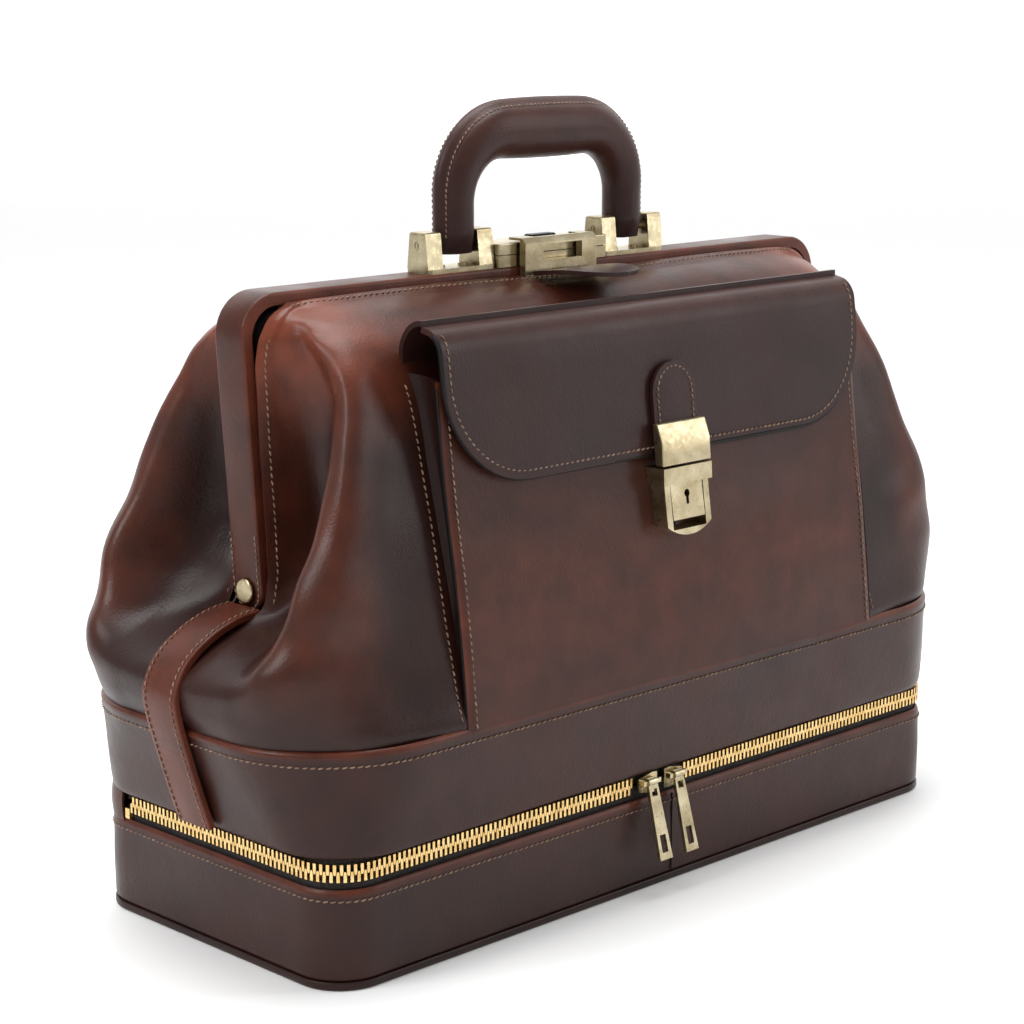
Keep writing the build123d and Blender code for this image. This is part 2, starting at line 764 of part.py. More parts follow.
with BuildPart() as flap_fold:
    with BuildSketch(Plane.YZ.offset(-pocket_half)):
        with Locations((fold_y, fold_z)):
            Circle(fold_radius)
            Circle(fold_radius - flap_leather, mode=Mode.SUBTRACT)
        with Locations((fold_y, fold_z - 20)):
            Rectangle(40, 40, mode=Mode.SUBTRACT)
        with Locations((fold_y + fold_radius - flap_leather / 2, fold_z - 2.5)):
            Rectangle(flap_leather, 5.0)
    extrude(amount=2 * pocket_half)
write(flap_fold, "flap_fold")

flap_line = [(-84.9, flap_low_z), (-82.6, 226), (-80.2, 245), (fold_y - fold_radius, fold_z - 0.4)]
flap_corner = 46.0
with BuildPart() as pocket_flap:
    add(panel_solid(flap_line, flap_leather, pocket_half).part)
    with BuildSketch(Plane.XZ.offset(60)) as flap_shape:
        with Locations((0, flap_low_z + 60)):
            Rectangle(2 * pocket_half, 120)
        fillet(flap_shape.vertices().group_by(Axis.Z)[0], flap_corner)
    extrude(amount=40, mode=Mode.INTERSECT)
write(pocket_flap, "pocket_flap")

tab_width = 29.0
tab_line = [(-87.4, 206.5), (-85.05, 226), (-82.1, 250)]
with BuildPart() as flap_tab:
    add(panel_solid(tab_line, 2.1, tab_width / 2).part)
    with BuildSketch(Plane.XZ.offset(60)):
        with Locations((0, 250 - tab_width / 2)):
            Circle(tab_width / 2)
        with Locations((0, 250 - tab_width / 2 - 20)):
            Rectangle(tab_width, 40)
    extrude(amount=40, mode=Mode.INTERSECT)
write(flap_tab, "flap_tab")

# -------------------------------------------------------------- pocket lock
lock_half = 16.5
case_half = 15.0
case_low = 170.5
lip_low = 194.5
lip_high = 202.4
with BuildPart() as pocket_lock_cap:
    with BuildSketch(Plane.YZ.offset(-lock_half)):
        with BuildLine():
            Polyline(
                (-88.0, 203.4), (-92.8, 203.4), (-92.0, 214), (-88.6, 222.6), (-85.6, 222.6),
                close=True)
        make_face()
    extrude(amount=2 * lock_half)
    fillet(pocket_lock_cap.edges().filter_by(Axis.X).group_by(Axis.Y)[0], 0.5)
write(pocket_lock_cap, "pocket_lock_cap")

with BuildPart() as pocket_lock_case:
    with BuildSketch(Plane.YZ.offset(-lock_half)):
        with BuildLine():
            Polyline(
                (-83.2, lip_low), (-93.6, lip_low), (-93.2, lip_high), (-82.0, lip_high), close=True)
        make_face()
    extrude(amount=2 * lock_half)
    with BuildSketch(Plane.YZ.offset(-case_half)):
        with BuildLine():
            Polyline(
                (-87.1, case_low), (-95.6, case_low), (-92.2, lip_low), (-83.2, lip_low),
                close=True)
        make_face()
    extrude(amount=2 * case_half)
    with BuildSketch(Plane.XZ.offset(60)):
        with BuildLine():
            Polyline(
                (-lock_half, case_low + 6), (-lock_half, 210), (lock_half, 210),
                (lock_half, case_low + 6))
            ThreePointArc((lock_half, case_low + 6), (0, case_low), (-lock_half, case_low + 6))
        make_face()
    extrude(amount=60, mode=Mode.INTERSECT)
    with BuildSketch(Plane.XZ.offset(86.0)):
        with Locations((0, 184.0)):
            Rectangle(22.6, 20.8)
    extrude(amount=20, mode=Mode.SUBTRACT)
write(pocket_lock_case, "pocket_lock_case")

with BuildPart() as pocket_lock_button:
    with BuildSketch(Plane.YZ.offset(-10.8)):
        with BuildLine():
            Polyline(
                (-86.4, 178.0), (-94.6, 178.0), (-92.0, 194.2), (-86.4, 194.2), close=True)
        make_face()
    extrude(amount=21.6)
    with BuildSketch(Plane.XZ.offset(88.6)):
        with Locations((0, 189.4)):
            Circle(1.8)
        with Locations((0, 186.9)):
            Rectangle(1.7, 5.0)
    extrude(amount=20, mode=Mode.SUBTRACT)
    with BuildSketch(Plane.XZ.offset(86.4)):
        with Locations((0, 187.6)):
            Circle(4.2)
    extrude(amount=2.2, mode=Mode.SUBTRACT)
write(pocket_lock_button, "pocket_lock_button")

with BuildPart() as pocket_lock_cam:
    with BuildSketch(Plane.XZ.offset(86.7)):
        with Locations((0, 187.6)):
            Circle(2.6)
        with Locations((0, 189.6)):
            Rectangle(2.6, 3.0)
        with Locations((0, 187.6)):
            Rectangle(1.0, 3.4, mode=Mode.SUBTRACT)
    extrude(amount=1.6)
write(pocket_lock_cam, "pocket_lock_cam")

write(coil((-7.0, -90.4, 174.1), 1.1, 0.25, 4, 3.5, (0, 0, 1)), "pocket_lock_spring")

with BuildPart() as pocket_lock_backplate:
    with BuildSketch(Plane.YZ.offset(-case_half)):
        with BuildLine():
            Polyline((-83.3, 174), (-79.6, 199), (-78.6, 199), (-82.3, 174), close=True)
        make_face()
    extrude(amount=2 * case_half)
write(pocket_lock_backplate, "pocket_lock_backplate")
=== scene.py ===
import json
import math

import bpy
import numpy as np
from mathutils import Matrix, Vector


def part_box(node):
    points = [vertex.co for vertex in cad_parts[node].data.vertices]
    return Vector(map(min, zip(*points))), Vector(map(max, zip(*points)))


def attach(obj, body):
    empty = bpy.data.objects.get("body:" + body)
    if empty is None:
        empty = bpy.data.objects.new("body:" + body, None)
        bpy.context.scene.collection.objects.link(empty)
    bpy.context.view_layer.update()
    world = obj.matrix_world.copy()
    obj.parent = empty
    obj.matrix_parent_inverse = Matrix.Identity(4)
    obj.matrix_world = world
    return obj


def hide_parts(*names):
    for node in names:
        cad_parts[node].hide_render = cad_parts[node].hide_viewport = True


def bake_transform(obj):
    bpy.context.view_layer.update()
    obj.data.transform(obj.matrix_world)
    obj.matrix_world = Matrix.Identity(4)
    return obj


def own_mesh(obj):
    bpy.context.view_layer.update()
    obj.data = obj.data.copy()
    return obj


# Doctor bag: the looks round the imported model. +X along the bag, front at -Y.
# Shapes are worked out in millimetres, and MM turns them into the scene's metres.

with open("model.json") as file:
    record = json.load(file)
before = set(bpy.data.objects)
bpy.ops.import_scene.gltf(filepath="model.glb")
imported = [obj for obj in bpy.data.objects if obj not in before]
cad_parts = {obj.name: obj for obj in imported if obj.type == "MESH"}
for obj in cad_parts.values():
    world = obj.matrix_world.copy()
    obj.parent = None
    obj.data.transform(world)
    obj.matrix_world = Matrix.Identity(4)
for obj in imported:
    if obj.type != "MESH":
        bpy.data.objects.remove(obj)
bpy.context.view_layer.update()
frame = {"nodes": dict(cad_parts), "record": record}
MM = 0.001
SIDES = ((-1, "left"), (1, "right"))
FACES = ((-1, "front"), (1, "back"))
MIRROR_Y = np.array([1, -1, 1])


# ------------------------------------------------------------------ materials
def new_material(name):
    """A node material, with its nodes and links."""
    material = bpy.data.materials.new(name)
    material.use_nodes = True
    return material, material.node_tree.nodes, material.node_tree.links


def texture(nodes, links, coord, kind, **values):
    """A procedural texture laid out in the object's own coordinates."""
    node = nodes.new(kind)
    for name, value in values.items():
        node.inputs[name].default_value = value
    links.new(coord.outputs["Object"], node.inputs["Vector"])
    return node


def bump_from(nodes, links, height, strength, distance):
    bump = nodes.new("ShaderNodeBump")
    bump.inputs["Strength"].default_value = strength
    bump.inputs["Distance"].default_value = distance
    links.new(height, bump.inputs["Height"])
    return bump


def noise_ramp(nodes, links, coord, scale, detail, low, high, dark, light):
    """Noise coloured from dark at low to light at high."""
    noise = texture(nodes, links, coord, "ShaderNodeTexNoise", Scale=scale, Detail=detail)
    ramp = nodes.new("ShaderNodeValToRGB")
    ramp.color_ramp.elements[0].position = low
    ramp.color_ramp.elements[1].position = high
    ramp.color_ramp.elements[0].color = (*dark, 1)
    ramp.color_ramp.elements[1].color = (*light, 1)
    links.new(noise.outputs["Fac"], ramp.inputs["Fac"])
    return ramp


# The colour mix node numbers its sockets by type, and these are the colour ones.
MIX_FIRST, MIX_SECOND, MIX_RESULT = 6, 7, 2


def leather_material(name, dark, light, worn, rough):
    """Waxed leather: blotchy colour, a redder worn tone, pebble grain and fine creases."""
    material, nodes, links = new_material(name)
    shader = nodes["Principled BSDF"]
    coord = nodes.new("ShaderNodeTexCoord")
    blotch = noise_ramp(nodes, links, coord, 16, 6, 0.34, 0.68, dark, light)
    worn_at = nodes.new("ShaderNodeAttribute")
    worn_at.attribute_name = "worn"
    speckle = texture(nodes, links, coord, "ShaderNodeTexNoise", Scale=55, Detail=5)
    amount = nodes.new("ShaderNodeMath")
    amount.operation = "MULTIPLY"
    links.new(worn_at.outputs["Fac"], amount.inputs[0])
    links.new(speckle.outputs["Fac"], amount.inputs[1])
    gain = nodes.new("ShaderNodeMath")
    gain.operation = "MULTIPLY"
    gain.use_clamp = True
    gain.inputs[1].default_value = 1.7
    links.new(amount.outputs[0], gain.inputs[0])
    mix = nodes.new("ShaderNodeMix")
    mix.data_type = "RGBA"
    mix.inputs[MIX_SECOND].default_value = (*worn, 1)
    links.new(gain.outputs[0], mix.inputs[0])
    links.new(blotch.outputs["Color"], mix.inputs[MIX_FIRST])
    links.new(mix.outputs[MIX_RESULT], shader.inputs["Base Color"])
    rough_ramp = noise_ramp(
        nodes, links, coord, 30, 4, 0.3, 0.75, (rough - 0.08,) * 3, (rough + 0.1,) * 3)
    links.new(rough_ramp.outputs["Color"], shader.inputs["Roughness"])
    shader.inputs["Specular IOR Level"].default_value = 0.24
    shader.inputs["Coat Weight"].default_value = 0.06
    shader.inputs["Coat Roughness"].default_value = 0.25
    pebble = texture(nodes, links, coord, "ShaderNodeTexVoronoi", Scale=900)
    crease = texture(nodes, links, coord, "ShaderNodeTexNoise", Scale=130, Detail=8, Distortion=0.6)
    fine = bump_from(nodes, links, pebble.outputs["Distance"], 0.35, 0.0002)
    broad = bump_from(nodes, links, crease.outputs["Fac"], 0.25, 0.0006)
    links.new(fine.outputs["Normal"], broad.inputs["Normal"])
    links.new(broad.outputs["Normal"], shader.inputs["Normal"])
    return material


def metal_material(name, dark, light, rough, scale=90):
    """Plated metal with faint brushing and tarnish in patches."""
    material, nodes, links = new_material(name)
    shader = nodes["Principled BSDF"]
    coord = nodes.new("ShaderNodeTexCoord")
    tone = noise_ramp(nodes, links, coord, scale, 6, 0.3, 0.7, dark, light)
    links.new(tone.outputs["Color"], shader.inputs["Base Color"])
    shader.inputs["Metallic"].default_value = 1.0
    rough_ramp = noise_ramp(
        nodes, links, coord, 400, 5, 0.3, 0.7, (rough - 0.06,) * 3, (rough + 0.09,) * 3)
    links.new(rough_ramp.outputs["Color"], shader.inputs["Roughness"])
    brushed = texture(nodes, links, coord, "ShaderNodeTexNoise", Scale=2500)
    bump = bump_from(nodes, links, brushed.outputs["Fac"], 0.08, 0.0001)
    links.new(bump.outputs["Normal"], shader.inputs["Normal"])
    return material


def cloth_material(name, dark, light, scale):
    """Woven cloth: crossed threads as bump over a mottled colour."""
    material, nodes, links = new_material(name)
    shader = nodes["Principled BSDF"]
    coord = nodes.new("ShaderNodeTexCoord")
    tone = noise_ramp(nodes, links, coord, 220, 4, 0.35, 0.65, dark, light)
    links.new(tone.outputs["Color"], shader.inputs["Base Color"])
    shader.inputs["Roughness"].default_value = 0.85
    join = nodes.new("ShaderNodeMath")
    join.operation = "MAXIMUM"
    for socket, direction in zip(join.inputs, ("X", "Z")):
        wave = texture(nodes, links, coord, "ShaderNodeTexWave", Scale=scale)
        wave.bands_direction = direction
        links.new(wave.outputs["Fac"], socket)
    bump = bump_from(nodes, links, join.outputs[0], 0.5, 0.0003)
    links.new(bump.outputs["Normal"], shader.inputs["Normal"])
    return material


LEATHER = leather_material(
    "leather_brown", (0.012, 0.0042, 0.0033), (0.030, 0.0092, 0.0060), (0.17, 0.040, 0.019), 0.38)
FLAP = leather_material(
    "leather_flap", (0.016, 0.0060, 0.0056), (0.027, 0.0098, 0.0088), (0.09, 0.028, 0.018), 0.41)
EDGE = leather_material(
    "leather_edge", (0.003, 0.002, 0.002), (0.007, 0.004, 0.0035), (0.03, 0.012, 0.008), 0.55)
THREAD = cloth_material("stitch_thread", (0.16, 0.095, 0.06), (0.34, 0.22, 0.15), 900)
TAPE = cloth_material("zipper_tape_weave", (0.006, 0.004, 0.004), (0.017, 0.011, 0.010), 260)
LINING = cloth_material("lining_weave", (0.10, 0.07, 0.045), (0.17, 0.125, 0.085), 180)
BOARD = cloth_material("fibre_board", (0.11, 0.08, 0.05), (0.18, 0.14, 0.09), 60)
BRASS = metal_material("brass_antique", (0.36, 0.29, 0.17), (0.62, 0.54, 0.36), 0.30)
ZIP_BRASS = metal_material("brass_zipper", (0.62, 0.40, 0.14), (0.90, 0.64, 0.30), 0.26, 300)
DARK = metal_material("metal_dark", (0.010, 0.010, 0.010), (0.03, 0.028, 0.026), 0.4)


# --------------------------------------------------------------- mesh helpers
def make_piece(name, vertices, faces, material, body=None, sharp=50):
    """A smooth-shaded mesh with its edges sharp above an angle, riding on body if it has one."""
    mesh = bpy.data.meshes.new(name)
    mesh.from_pydata([tuple(v) for v in vertices], [], faces)
    mesh.validate()
    piece = bpy.data.objects.new(name, mesh)
    bpy.context.collection.objects.link(piece)
    mesh.materials.append(material)
    mesh.polygons.foreach_set("use_smooth", [True] * len(mesh.polygons))
    mesh.set_sharp_from_angle(angle=math.radians(sharp))
    if body:
        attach(piece, body)
    return piece


def run_along(points):
    """The distance along a line at each of its points."""
    steps = np.linalg.norm(np.diff(points, axis=0), axis=1)
    return np.concatenate([[0], np.cumsum(steps)])


def values_at(at, run, values):
    """Rows of values, known along run, at other distances."""
    return np.stack([np.interp(at, run, values[:, k]) for k in range(values.shape[1])], axis=-1)


def resample_with(points, values, count):
    """Values at count places spread evenly along a line of points."""
    run = run_along(np.asarray(points, float))
    return values_at(np.linspace(0, run[-1], count), run, np.asarray(values, float))


def resample(points, count):
    """Count points spread evenly along a line."""
    return resample_with(points, points, count)


def smooth_line(points, count):
    """Catmull-Rom curve through the points, sampled evenly by length."""
    points = np.asarray(points, float)
    ring = np.vstack([2 * points[0] - points[1], points, 2 * points[-1] - points[-2]])
    dense = []
    for i in range(1, len(ring) - 2):
        p0, p1, p2, p3 = ring[i - 1:i + 3]
        for t in np.linspace(0, 1, 12, endpoint=False):
            dense.append(0.5 * (2 * p1 + (p2 - p0) * t + (2 * p0 - 5 * p1 + 4 * p2 - p3) * t * t
                                + (3 * p1 - p0 - 3 * p2 + p3) * t ** 3))
    dense.append(ring[-2])
    return resample(dense, count)


def through(points, knots, counts):
    """A smooth curve through points (first axis) at knots, with a set number of samples per span."""
    points = np.asarray(points, float)
    knots = np.asarray(knots, float)
    gaps = np.diff(knots)
    shape = (-1,) + (1,) * (points.ndim - 1)
    slopes = np.diff(points, axis=0) / gaps.reshape(shape)
    inner = (slopes[:-1] * gaps[1:].reshape(shape) + slopes[1:] * gaps[:-1].reshape(shape))
    inner /= (gaps[1:] + gaps[:-1]).reshape(shape)
    tangents = np.concatenate([slopes[:1], inner, slopes[-1:]])
    samples = []
    for i, count in enumerate(counts):
        for t in np.linspace(0, 1, count, endpoint=False):
            a, b = 2 * t ** 3 - 3 * t ** 2 + 1, -2 * t ** 3 + 3 * t ** 2
            c, d = t ** 3 - 2 * t ** 2 + t, t ** 3 - t ** 2
            samples.append(a * points[i] + b * points[i + 1]
                           + (c * tangents[i] + d * tangents[i + 1]) * gaps[i])
    samples.append(points[-1])
    return np.array(samples)


def directions(line):
    """Unit tangents of a flat line, and the unit directions to their left."""
    tangent = np.gradient(line, axis=0)
    tangent /= np.linalg.norm(tangent, axis=1, keepdims=True)
    return tangent, np.stack([-tangent[:, 1], tangent[:, 0]], axis=1)


def in_xz(line):
    """A flat line or its directions stood up in the XZ plane."""
    return np.array([(x, 0, z) for x, z in line])


def grid_normals(grid):
    """Unit normals of a grid of points, towards its outer face."""
    normal = np.cross(np.gradient(grid, axis=1), np.gradient(grid, axis=0))
    return normal / np.maximum(np.linalg.norm(normal, axis=2, keepdims=True), 1e-12)


def shell_piece(name, grid, thickness, material, body=None, flip=False):
    """A sheet of leather or cloth: a grid of points given a thickness, with its rim closed.
    The grid is its outer face, and flip turns it over."""
    grid = np.asarray(grid, float)
    normal = grid_normals(grid) * (-1 if flip else 1)
    inner = grid - normal * thickness
    rows, columns = grid.shape[:2]
    vertices = np.concatenate([grid.reshape(-1, 3), inner.reshape(-1, 3)])
    half = rows * columns
    faces = []

    def quad(a, b, c, d):
        faces.append((a, b, c, d) if not flip else (d, c, b, a))

    for i in range(rows - 1):
        for j in range(columns - 1):
            a = i * columns + j
            quad(a, a + 1, a + columns + 1, a + columns)
            quad(a + half, a + columns + half, a + columns + 1 + half, a + 1 + half)
    for j in range(columns - 1):
        quad(j, j + half, j + 1 + half, j + 1)
        k = (rows - 1) * columns + j
        quad(k, k + 1, k + 1 + half, k + half)
    for i in range(rows - 1):
        a = i * columns
        quad(a, a + columns, a + columns + half, a + half)
        b = a + columns - 1
        quad(b, b + half, b + columns + half, b + columns)
    return make_piece(name, vertices, faces, material, body)


def tube_faces(count, ring, closed=False):
    """Faces that join rings of points into a tube, with flat ends unless it is closed."""
    faces = []
    for i in range(count if closed else count - 1):
        for j in range(ring):
            near, far = i * ring, (i + 1) % count * ring
            turn = (j + 1) % ring
            faces.append((near + j, near + turn, far + turn, far + j))
    if not closed:
        faces.append(tuple(range(ring))[::-1])
        faces.append(tuple((count - 1) * ring + j for j in range(ring)))
    return faces


def sweep_piece(name, path, sides, ups, profile, material, body=None, closed=False):
    """A profile of (side, up) points carried along a path with its own side and up directions."""
    path, sides, ups = (np.asarray(a, float) for a in (path, sides, ups))
    vertices = [p + s * a + u * b for p, s, u in zip(path, sides, ups) for a, b in profile]
    faces = tube_faces(len(path), len(profile), closed)
    return make_piece(name, vertices, faces, material, body, sharp=40)


def rounded_profile(half_width, height, radius, steps=4):
    """A rectangle with rounded upper corners, from 0 up to height."""
    points = [(-half_width, 0)]
    for side, start in ((-1, math.pi), (1, math.pi / 2)):
        centre = side * (half_width - radius)
        for turn in np.linspace(start, start - math.pi / 2, steps + 1):
            points.append((centre + radius * math.cos(turn), height - radius + radius * math.sin(turn)))
    points.append((half_width, 0))
    return points[::-1]


def oval_profile(half_width, half_height, count, shift=0.0):
    """An oval in metres, moved up by shift."""
    turns = np.linspace(0, 2 * math.pi, count, endpoint=False)
    return [(half_width * math.cos(a) * MM, (half_height * math.sin(a) + shift) * MM) for a in turns]


# One stitch from end to end: place along it, share of its width, height above the leather.
STITCH_RINGS = ((-1, 0.35, -0.25), (-0.6, 0.9, 0.55), (0, 1.0, 0.9), (0.6, 0.9, 0.55), (1, 0.35, -0.25))
STITCH_SIDES = 6


def unit(vector):
    return vector / max(np.linalg.norm(vector), 1e-9)


def stitch_piece(name, path, normals, body, pitch=3.3, length=2.35, width=0.42):
    """A row of separate thread stitches lying along a path in metres; their sizes in millimetres."""
    path = np.asarray(path, float)
    normals = np.asarray(normals, float)
    pitch, length, width, rise = pitch * MM, length * MM, width * MM, 0.3 * MM
    run = run_along(path)
    count = max(int(run[-1] / pitch), 1)
    turns = [k * 2 * math.pi / STITCH_SIDES for k in range(STITCH_SIDES)]
    vertices, faces = [], []
    for k in range(count):
        middle = (k + 0.5) * run[-1] / count
        first, last = values_at(np.array([middle - length / 2, middle + length / 2]), run, path)
        up = values_at(middle, run, normals)
        along = unit(last - first)
        side = unit(np.cross(up, along))
        slant = side * width * 0.55
        base = len(vertices)
        for t, size, lift in STITCH_RINGS:
            place = (first + last) / 2 + along * t * length / 2 + slant * t + up * rise * lift
            vertices += [place + width * size * (side * math.cos(a) + up * 0.8 * math.sin(a)) for a in turns]
        faces += [tuple(base + v for v in face) for face in tube_faces(len(STITCH_RINGS), STITCH_SIDES)]
    return make_piece(name, vertices, faces, THREAD, body, sharp=80)


def mark_worn(piece, weight):
    """Store how worn each point is, from 0 to 1. The weight is a number or a function of points."""
    mesh = piece.data
    points = np.empty(len(mesh.vertices) * 3)
    mesh.vertices.foreach_get("co", points)
    if callable(weight):
        values = np.clip(weight(points.reshape(-1, 3) / MM), 0, 1)
    else:
        values = np.full(len(mesh.vertices), float(weight))
    layer = mesh.attributes.new("worn", "FLOAT", "POINT")
    layer.data.foreach_set("value", values)


def body_of(node):
    return next(b for b, names in frame["record"]["behaviour"]["bodies"].items() if node in names)


def bevelled(node, material, width):
    """A CAD piece with its edges rounded, which stands for the CAD node."""
    mesh = frame["nodes"][node].data.copy()
    piece = bpy.data.objects.new(node + "_finished", mesh)
    bpy.context.collection.objects.link(piece)
    mesh.materials.clear()
    mesh.materials.append(material)
    weld = piece.modifiers.new("weld", "WELD")
    weld.merge_threshold = 1e-6
    flat = piece.modifiers.new("flat", "DECIMATE")
    flat.decimate_type = "DISSOLVE"
    flat.angle_limit = math.radians(1.0)
    edge = piece.modifiers.new("bevel", "BEVEL")
    edge.width = width * MM
    edge.segments = 2
    edge.limit_method = "ANGLE"
    edge.angle_limit = math.radians(35)
    edge.use_clamp_overlap = True
    even = piece.modifiers.new("even", "WEIGHTED_NORMAL")
    even.keep_sharp = True
    mesh.polygons.foreach_set("use_smooth", [True] * len(mesh.polygons))
    depsgraph = bpy.context.evaluated_depsgraph_get()
    finished = bpy.data.meshes.new_from_object(piece.evaluated_get(depsgraph))
    piece.modifiers.clear()
    piece.data = finished
    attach(piece, body_of(node))
    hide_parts(node)
    return piece


# ---------------------------------------------------------------- bag's body
# Outline of one corner of the body by height: the end's middle, the fold beside the
# frame, the ear's inner flank, its tip, its turn to the front, and the front face.
OUTLINE = [
    (102.0, 224.0, (223.8, 28), (223.0, 42.5), (216.0, 62), (194.5, 83), (160, 90.8), 91.0),
    (107.0, 226.6, (226.4, 28), (225.5, 42.5), (218.5, 62), (196.5, 84), (160, 91.6), 91.8),
    (118.0, 231.5, (230.5, 28), (229.0, 43), (222.0, 63), (202, 81.5), (160, 88.8), 89.4),
    (130.0, 229.0, (228.5, 27), (229.0, 42), (227.0, 60), (208, 78), (161, 86.2), 86.6),
    (140.0, 214.5, (212.0, 25), (217.0, 40), (226.0, 58), (211, 77), (162, 84.0), 84.4),
    (150.0, 190.0, (184.0, 24), (196.0, 40), (220.0, 60), (212, 76), (163, 81.8), 82.0),
    (162.0, 183.0, (168.0, 24), (180.0, 43), (214.0, 65), (208, 76), (163, 79.6), 79.6),
    (178.0, 182.6, (160.0, 24), (168.0, 43), (207.0, 65), (202, 74), (162, 76.4), 76.0),
    (195.0, 183.4, (158.0, 24), (164.0, 42), (197.0, 63), (194, 71.5), (160, 73.0), 72.2),
    (212.0, 184.6, (160.0, 24), (162.0, 41), (189.0, 60), (188, 68.5), (157, 69.0), 68.0),
    (230.0, 185.6, (163.0, 24), (162.0, 39), (182.0, 56), (182, 64), (153, 64.8), 63.4),
    (247.0, 186.2, (169.0, 22), (164.0, 35), (175.0, 50), (175, 57.5), (150, 59.6), 57.8),
    (262.0, 186.4, (177.0, 19), (169.0, 29), (173.0, 42), (171, 49), (146, 52.0), 50.6),
    (273.0, 183.0, (179.0, 16), (173.0, 23), (171.0, 31), (165, 37.5), (139, 41.5), 41.0),
    (281.0, 176.0, (172.0, 13.4), (168.0, 17), (163.0, 21), (154, 24), (126, 26.5), 26.5),
    (284.8, 168.0, (162.0, 11.7), (156.0, 11.9), (149.0, 12.1), (140, 12.2), (112, 12.4), 12.4),
]
EDGE_Y = 11.6
FOOT_Z = 149.0
SKIN_THICK, LINING_THICK = 2.0, 0.6
# Steps between the outline's points, from the end's middle to the front's middle.
SPANS = [6, 8, 9, 9, 9, 10, 8]


def body_grid(inset=0.0, fineness=1.0):
    """The front half of the body's skin as a grid of points, front at -Y, millimetres."""
    spans = [max(int(n * fineness), 2) for n in SPANS]
    levels = []
    for height, end, fold, flank, tip, turn, face, front in OUTLINE:
        edge = 0.6 if height < FOOT_Z else EDGE_Y
        half = [(end, edge), fold, flank, tip, turn, face]
        ring = [(-x, -y, height) for x, y in half] + [(-60, -front, height), (0, -front, height)]
        ring += [(-x, y, z) for x, y, z in reversed(ring[:-1])]
        steps = np.linalg.norm(np.diff(np.array(ring), axis=0), axis=1)
        knots = np.concatenate([[0], np.cumsum(steps ** 0.75)])
        levels.append(through(ring, knots, spans + spans[::-1]))
    heights = [row[0] for row in OUTLINE]
    grid = through(levels, heights, [max(int(6 * fineness), 2)] * (len(heights) - 1))
    normal = grid_normals(grid)
    x, y, z = grid[..., 0], grid[..., 1], grid[..., 2]
    ear = np.clip((np.abs(x) - 165) / 30, 0, 1)
    deep = np.clip((np.abs(y) - 26) / 14, 0, 1)
    folds = 1.5 * np.sin((z - 0.7 * np.abs(x) + 0.3 * y) / 10.5) * np.exp(-((z - 148) / 17) ** 2)
    dents = 1.1 * np.sin(z / 13.0 + y / 11.0 + 0.8) * np.sin(x / 17.0 + z / 23.0)
    dents *= np.exp(-((z - 175) / 45) ** 2)
    slope = 0.6 * np.sin(x / 31.0 + 1.3) * np.sin(z / 27.0) * np.clip((z - 108) / 20, 0, 1)
    return grid + normal * ((folds + dents) * ear * deep + slope * (1 - ear) - inset)[..., None]


def along_rows(grid):
    """The distance along each row of a grid at each of its points."""
    return np.cumsum(np.linalg.norm(np.diff(grid, axis=1, prepend=grid[:, :1]), axis=2), axis=1)


TURNED_WIDTH, TURNED_LIFT = 7.0, 0.9


def rim_lift(grid):
    """Raise a strip along the frame's edge, where the leather is turned under."""
    along = along_rows(grid)
    side = np.minimum(along, along[:, -1:] - along)
    up = along_rows(grid[::-1].transpose(1, 0, 2)).T[::-1]
    near = np.minimum(np.where(grid[..., 2] > FOOT_Z + 4, side, np.inf), up)
    lift = TURNED_LIFT * np.clip((TURNED_WIDTH - near) / 1.2, 0, 1)
    return grid + grid_normals(grid) * lift[..., None]


def skin_worn(points):
    """Most worn on the shoulders, beside the frame and on the ears' ridges."""
    x, y, z = np.abs(points[:, 0]), np.abs(points[:, 1]), points[:, 2]
    top = np.clip((z - 225) / 50, 0, 1)
    shoulder = np.exp(-((x - 172) / 34) ** 2) * top
    ridge = np.clip((x - 172) / 14, 0, 1) * np.clip((y - 44) / 12, 0, 1) * np.clip((z - 112) / 40, 0, 1)
    beside = np.clip((z - 150) / 20, 0, 1) * np.clip((30 - y) / 14, 0, 1)
    beside *= np.clip((x - 150) / 20, 0, 1)
    return 0.03 + 0.85 * shoulder + 0.30 * ridge + 0.35 * beside + 0.22 * top


front_grid = rim_lift(body_grid())
front_skin = shell_piece("front_skin", front_grid * MM, SKIN_THICK * MM, LEATHER, "main")
mark_worn(front_skin, skin_worn)
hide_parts("front_leather")

back_grid = front_grid * MIRROR_Y
back_skin = shell_piece("back_skin", back_grid * MM, SKIN_THICK * MM, LEATHER, flip=True)
mark_worn(back_skin, skin_worn)
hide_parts("back_leather", "back_leather_top")
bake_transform(back_skin)

lining_grid = body_grid(inset=3.2, fineness=0.5)
front_lining = shell_piece("front_lining", lining_grid * MM, LINING_THICK * MM, LINING, "main")
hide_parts("main_lining")
back_lining = shell_piece("back_lining", lining_grid * MIRROR_Y * MM, LINING_THICK * MM, LINING, flip=True)
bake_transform(back_lining)


def rim_path(grid, offset):
    """A line on the skin beside the frame, up one side, over the top and down the other, and its
    directions out from the skin."""
    normal = grid_normals(grid)
    along = along_rows(grid)
    points, ups = [], []
    for line, direction, run in zip(grid, normal, along):
        if FOOT_Z + 4 < line[0, 2] < 270:
            points.append(values_at(offset, run, line))
            ups.append(values_at(offset, run, direction))
    mirror = np.array([-1, 1, 1])
    other_side = [p * mirror for p in points[::-1]]
    other_ups = [u * mirror for u in ups[::-1]]
    for j in range(grid.shape[1]):
        if abs(grid[-1, j, 0]) < 164:
            line = grid[::-1, j]
            run = run_along(line)
            points.append(values_at(offset, run, line))
            ups.append(values_at(offset, run, normal[::-1, j]))
    points += other_side
    ups += other_ups
    return resample(points, 500), resample_with(points, ups, 500)


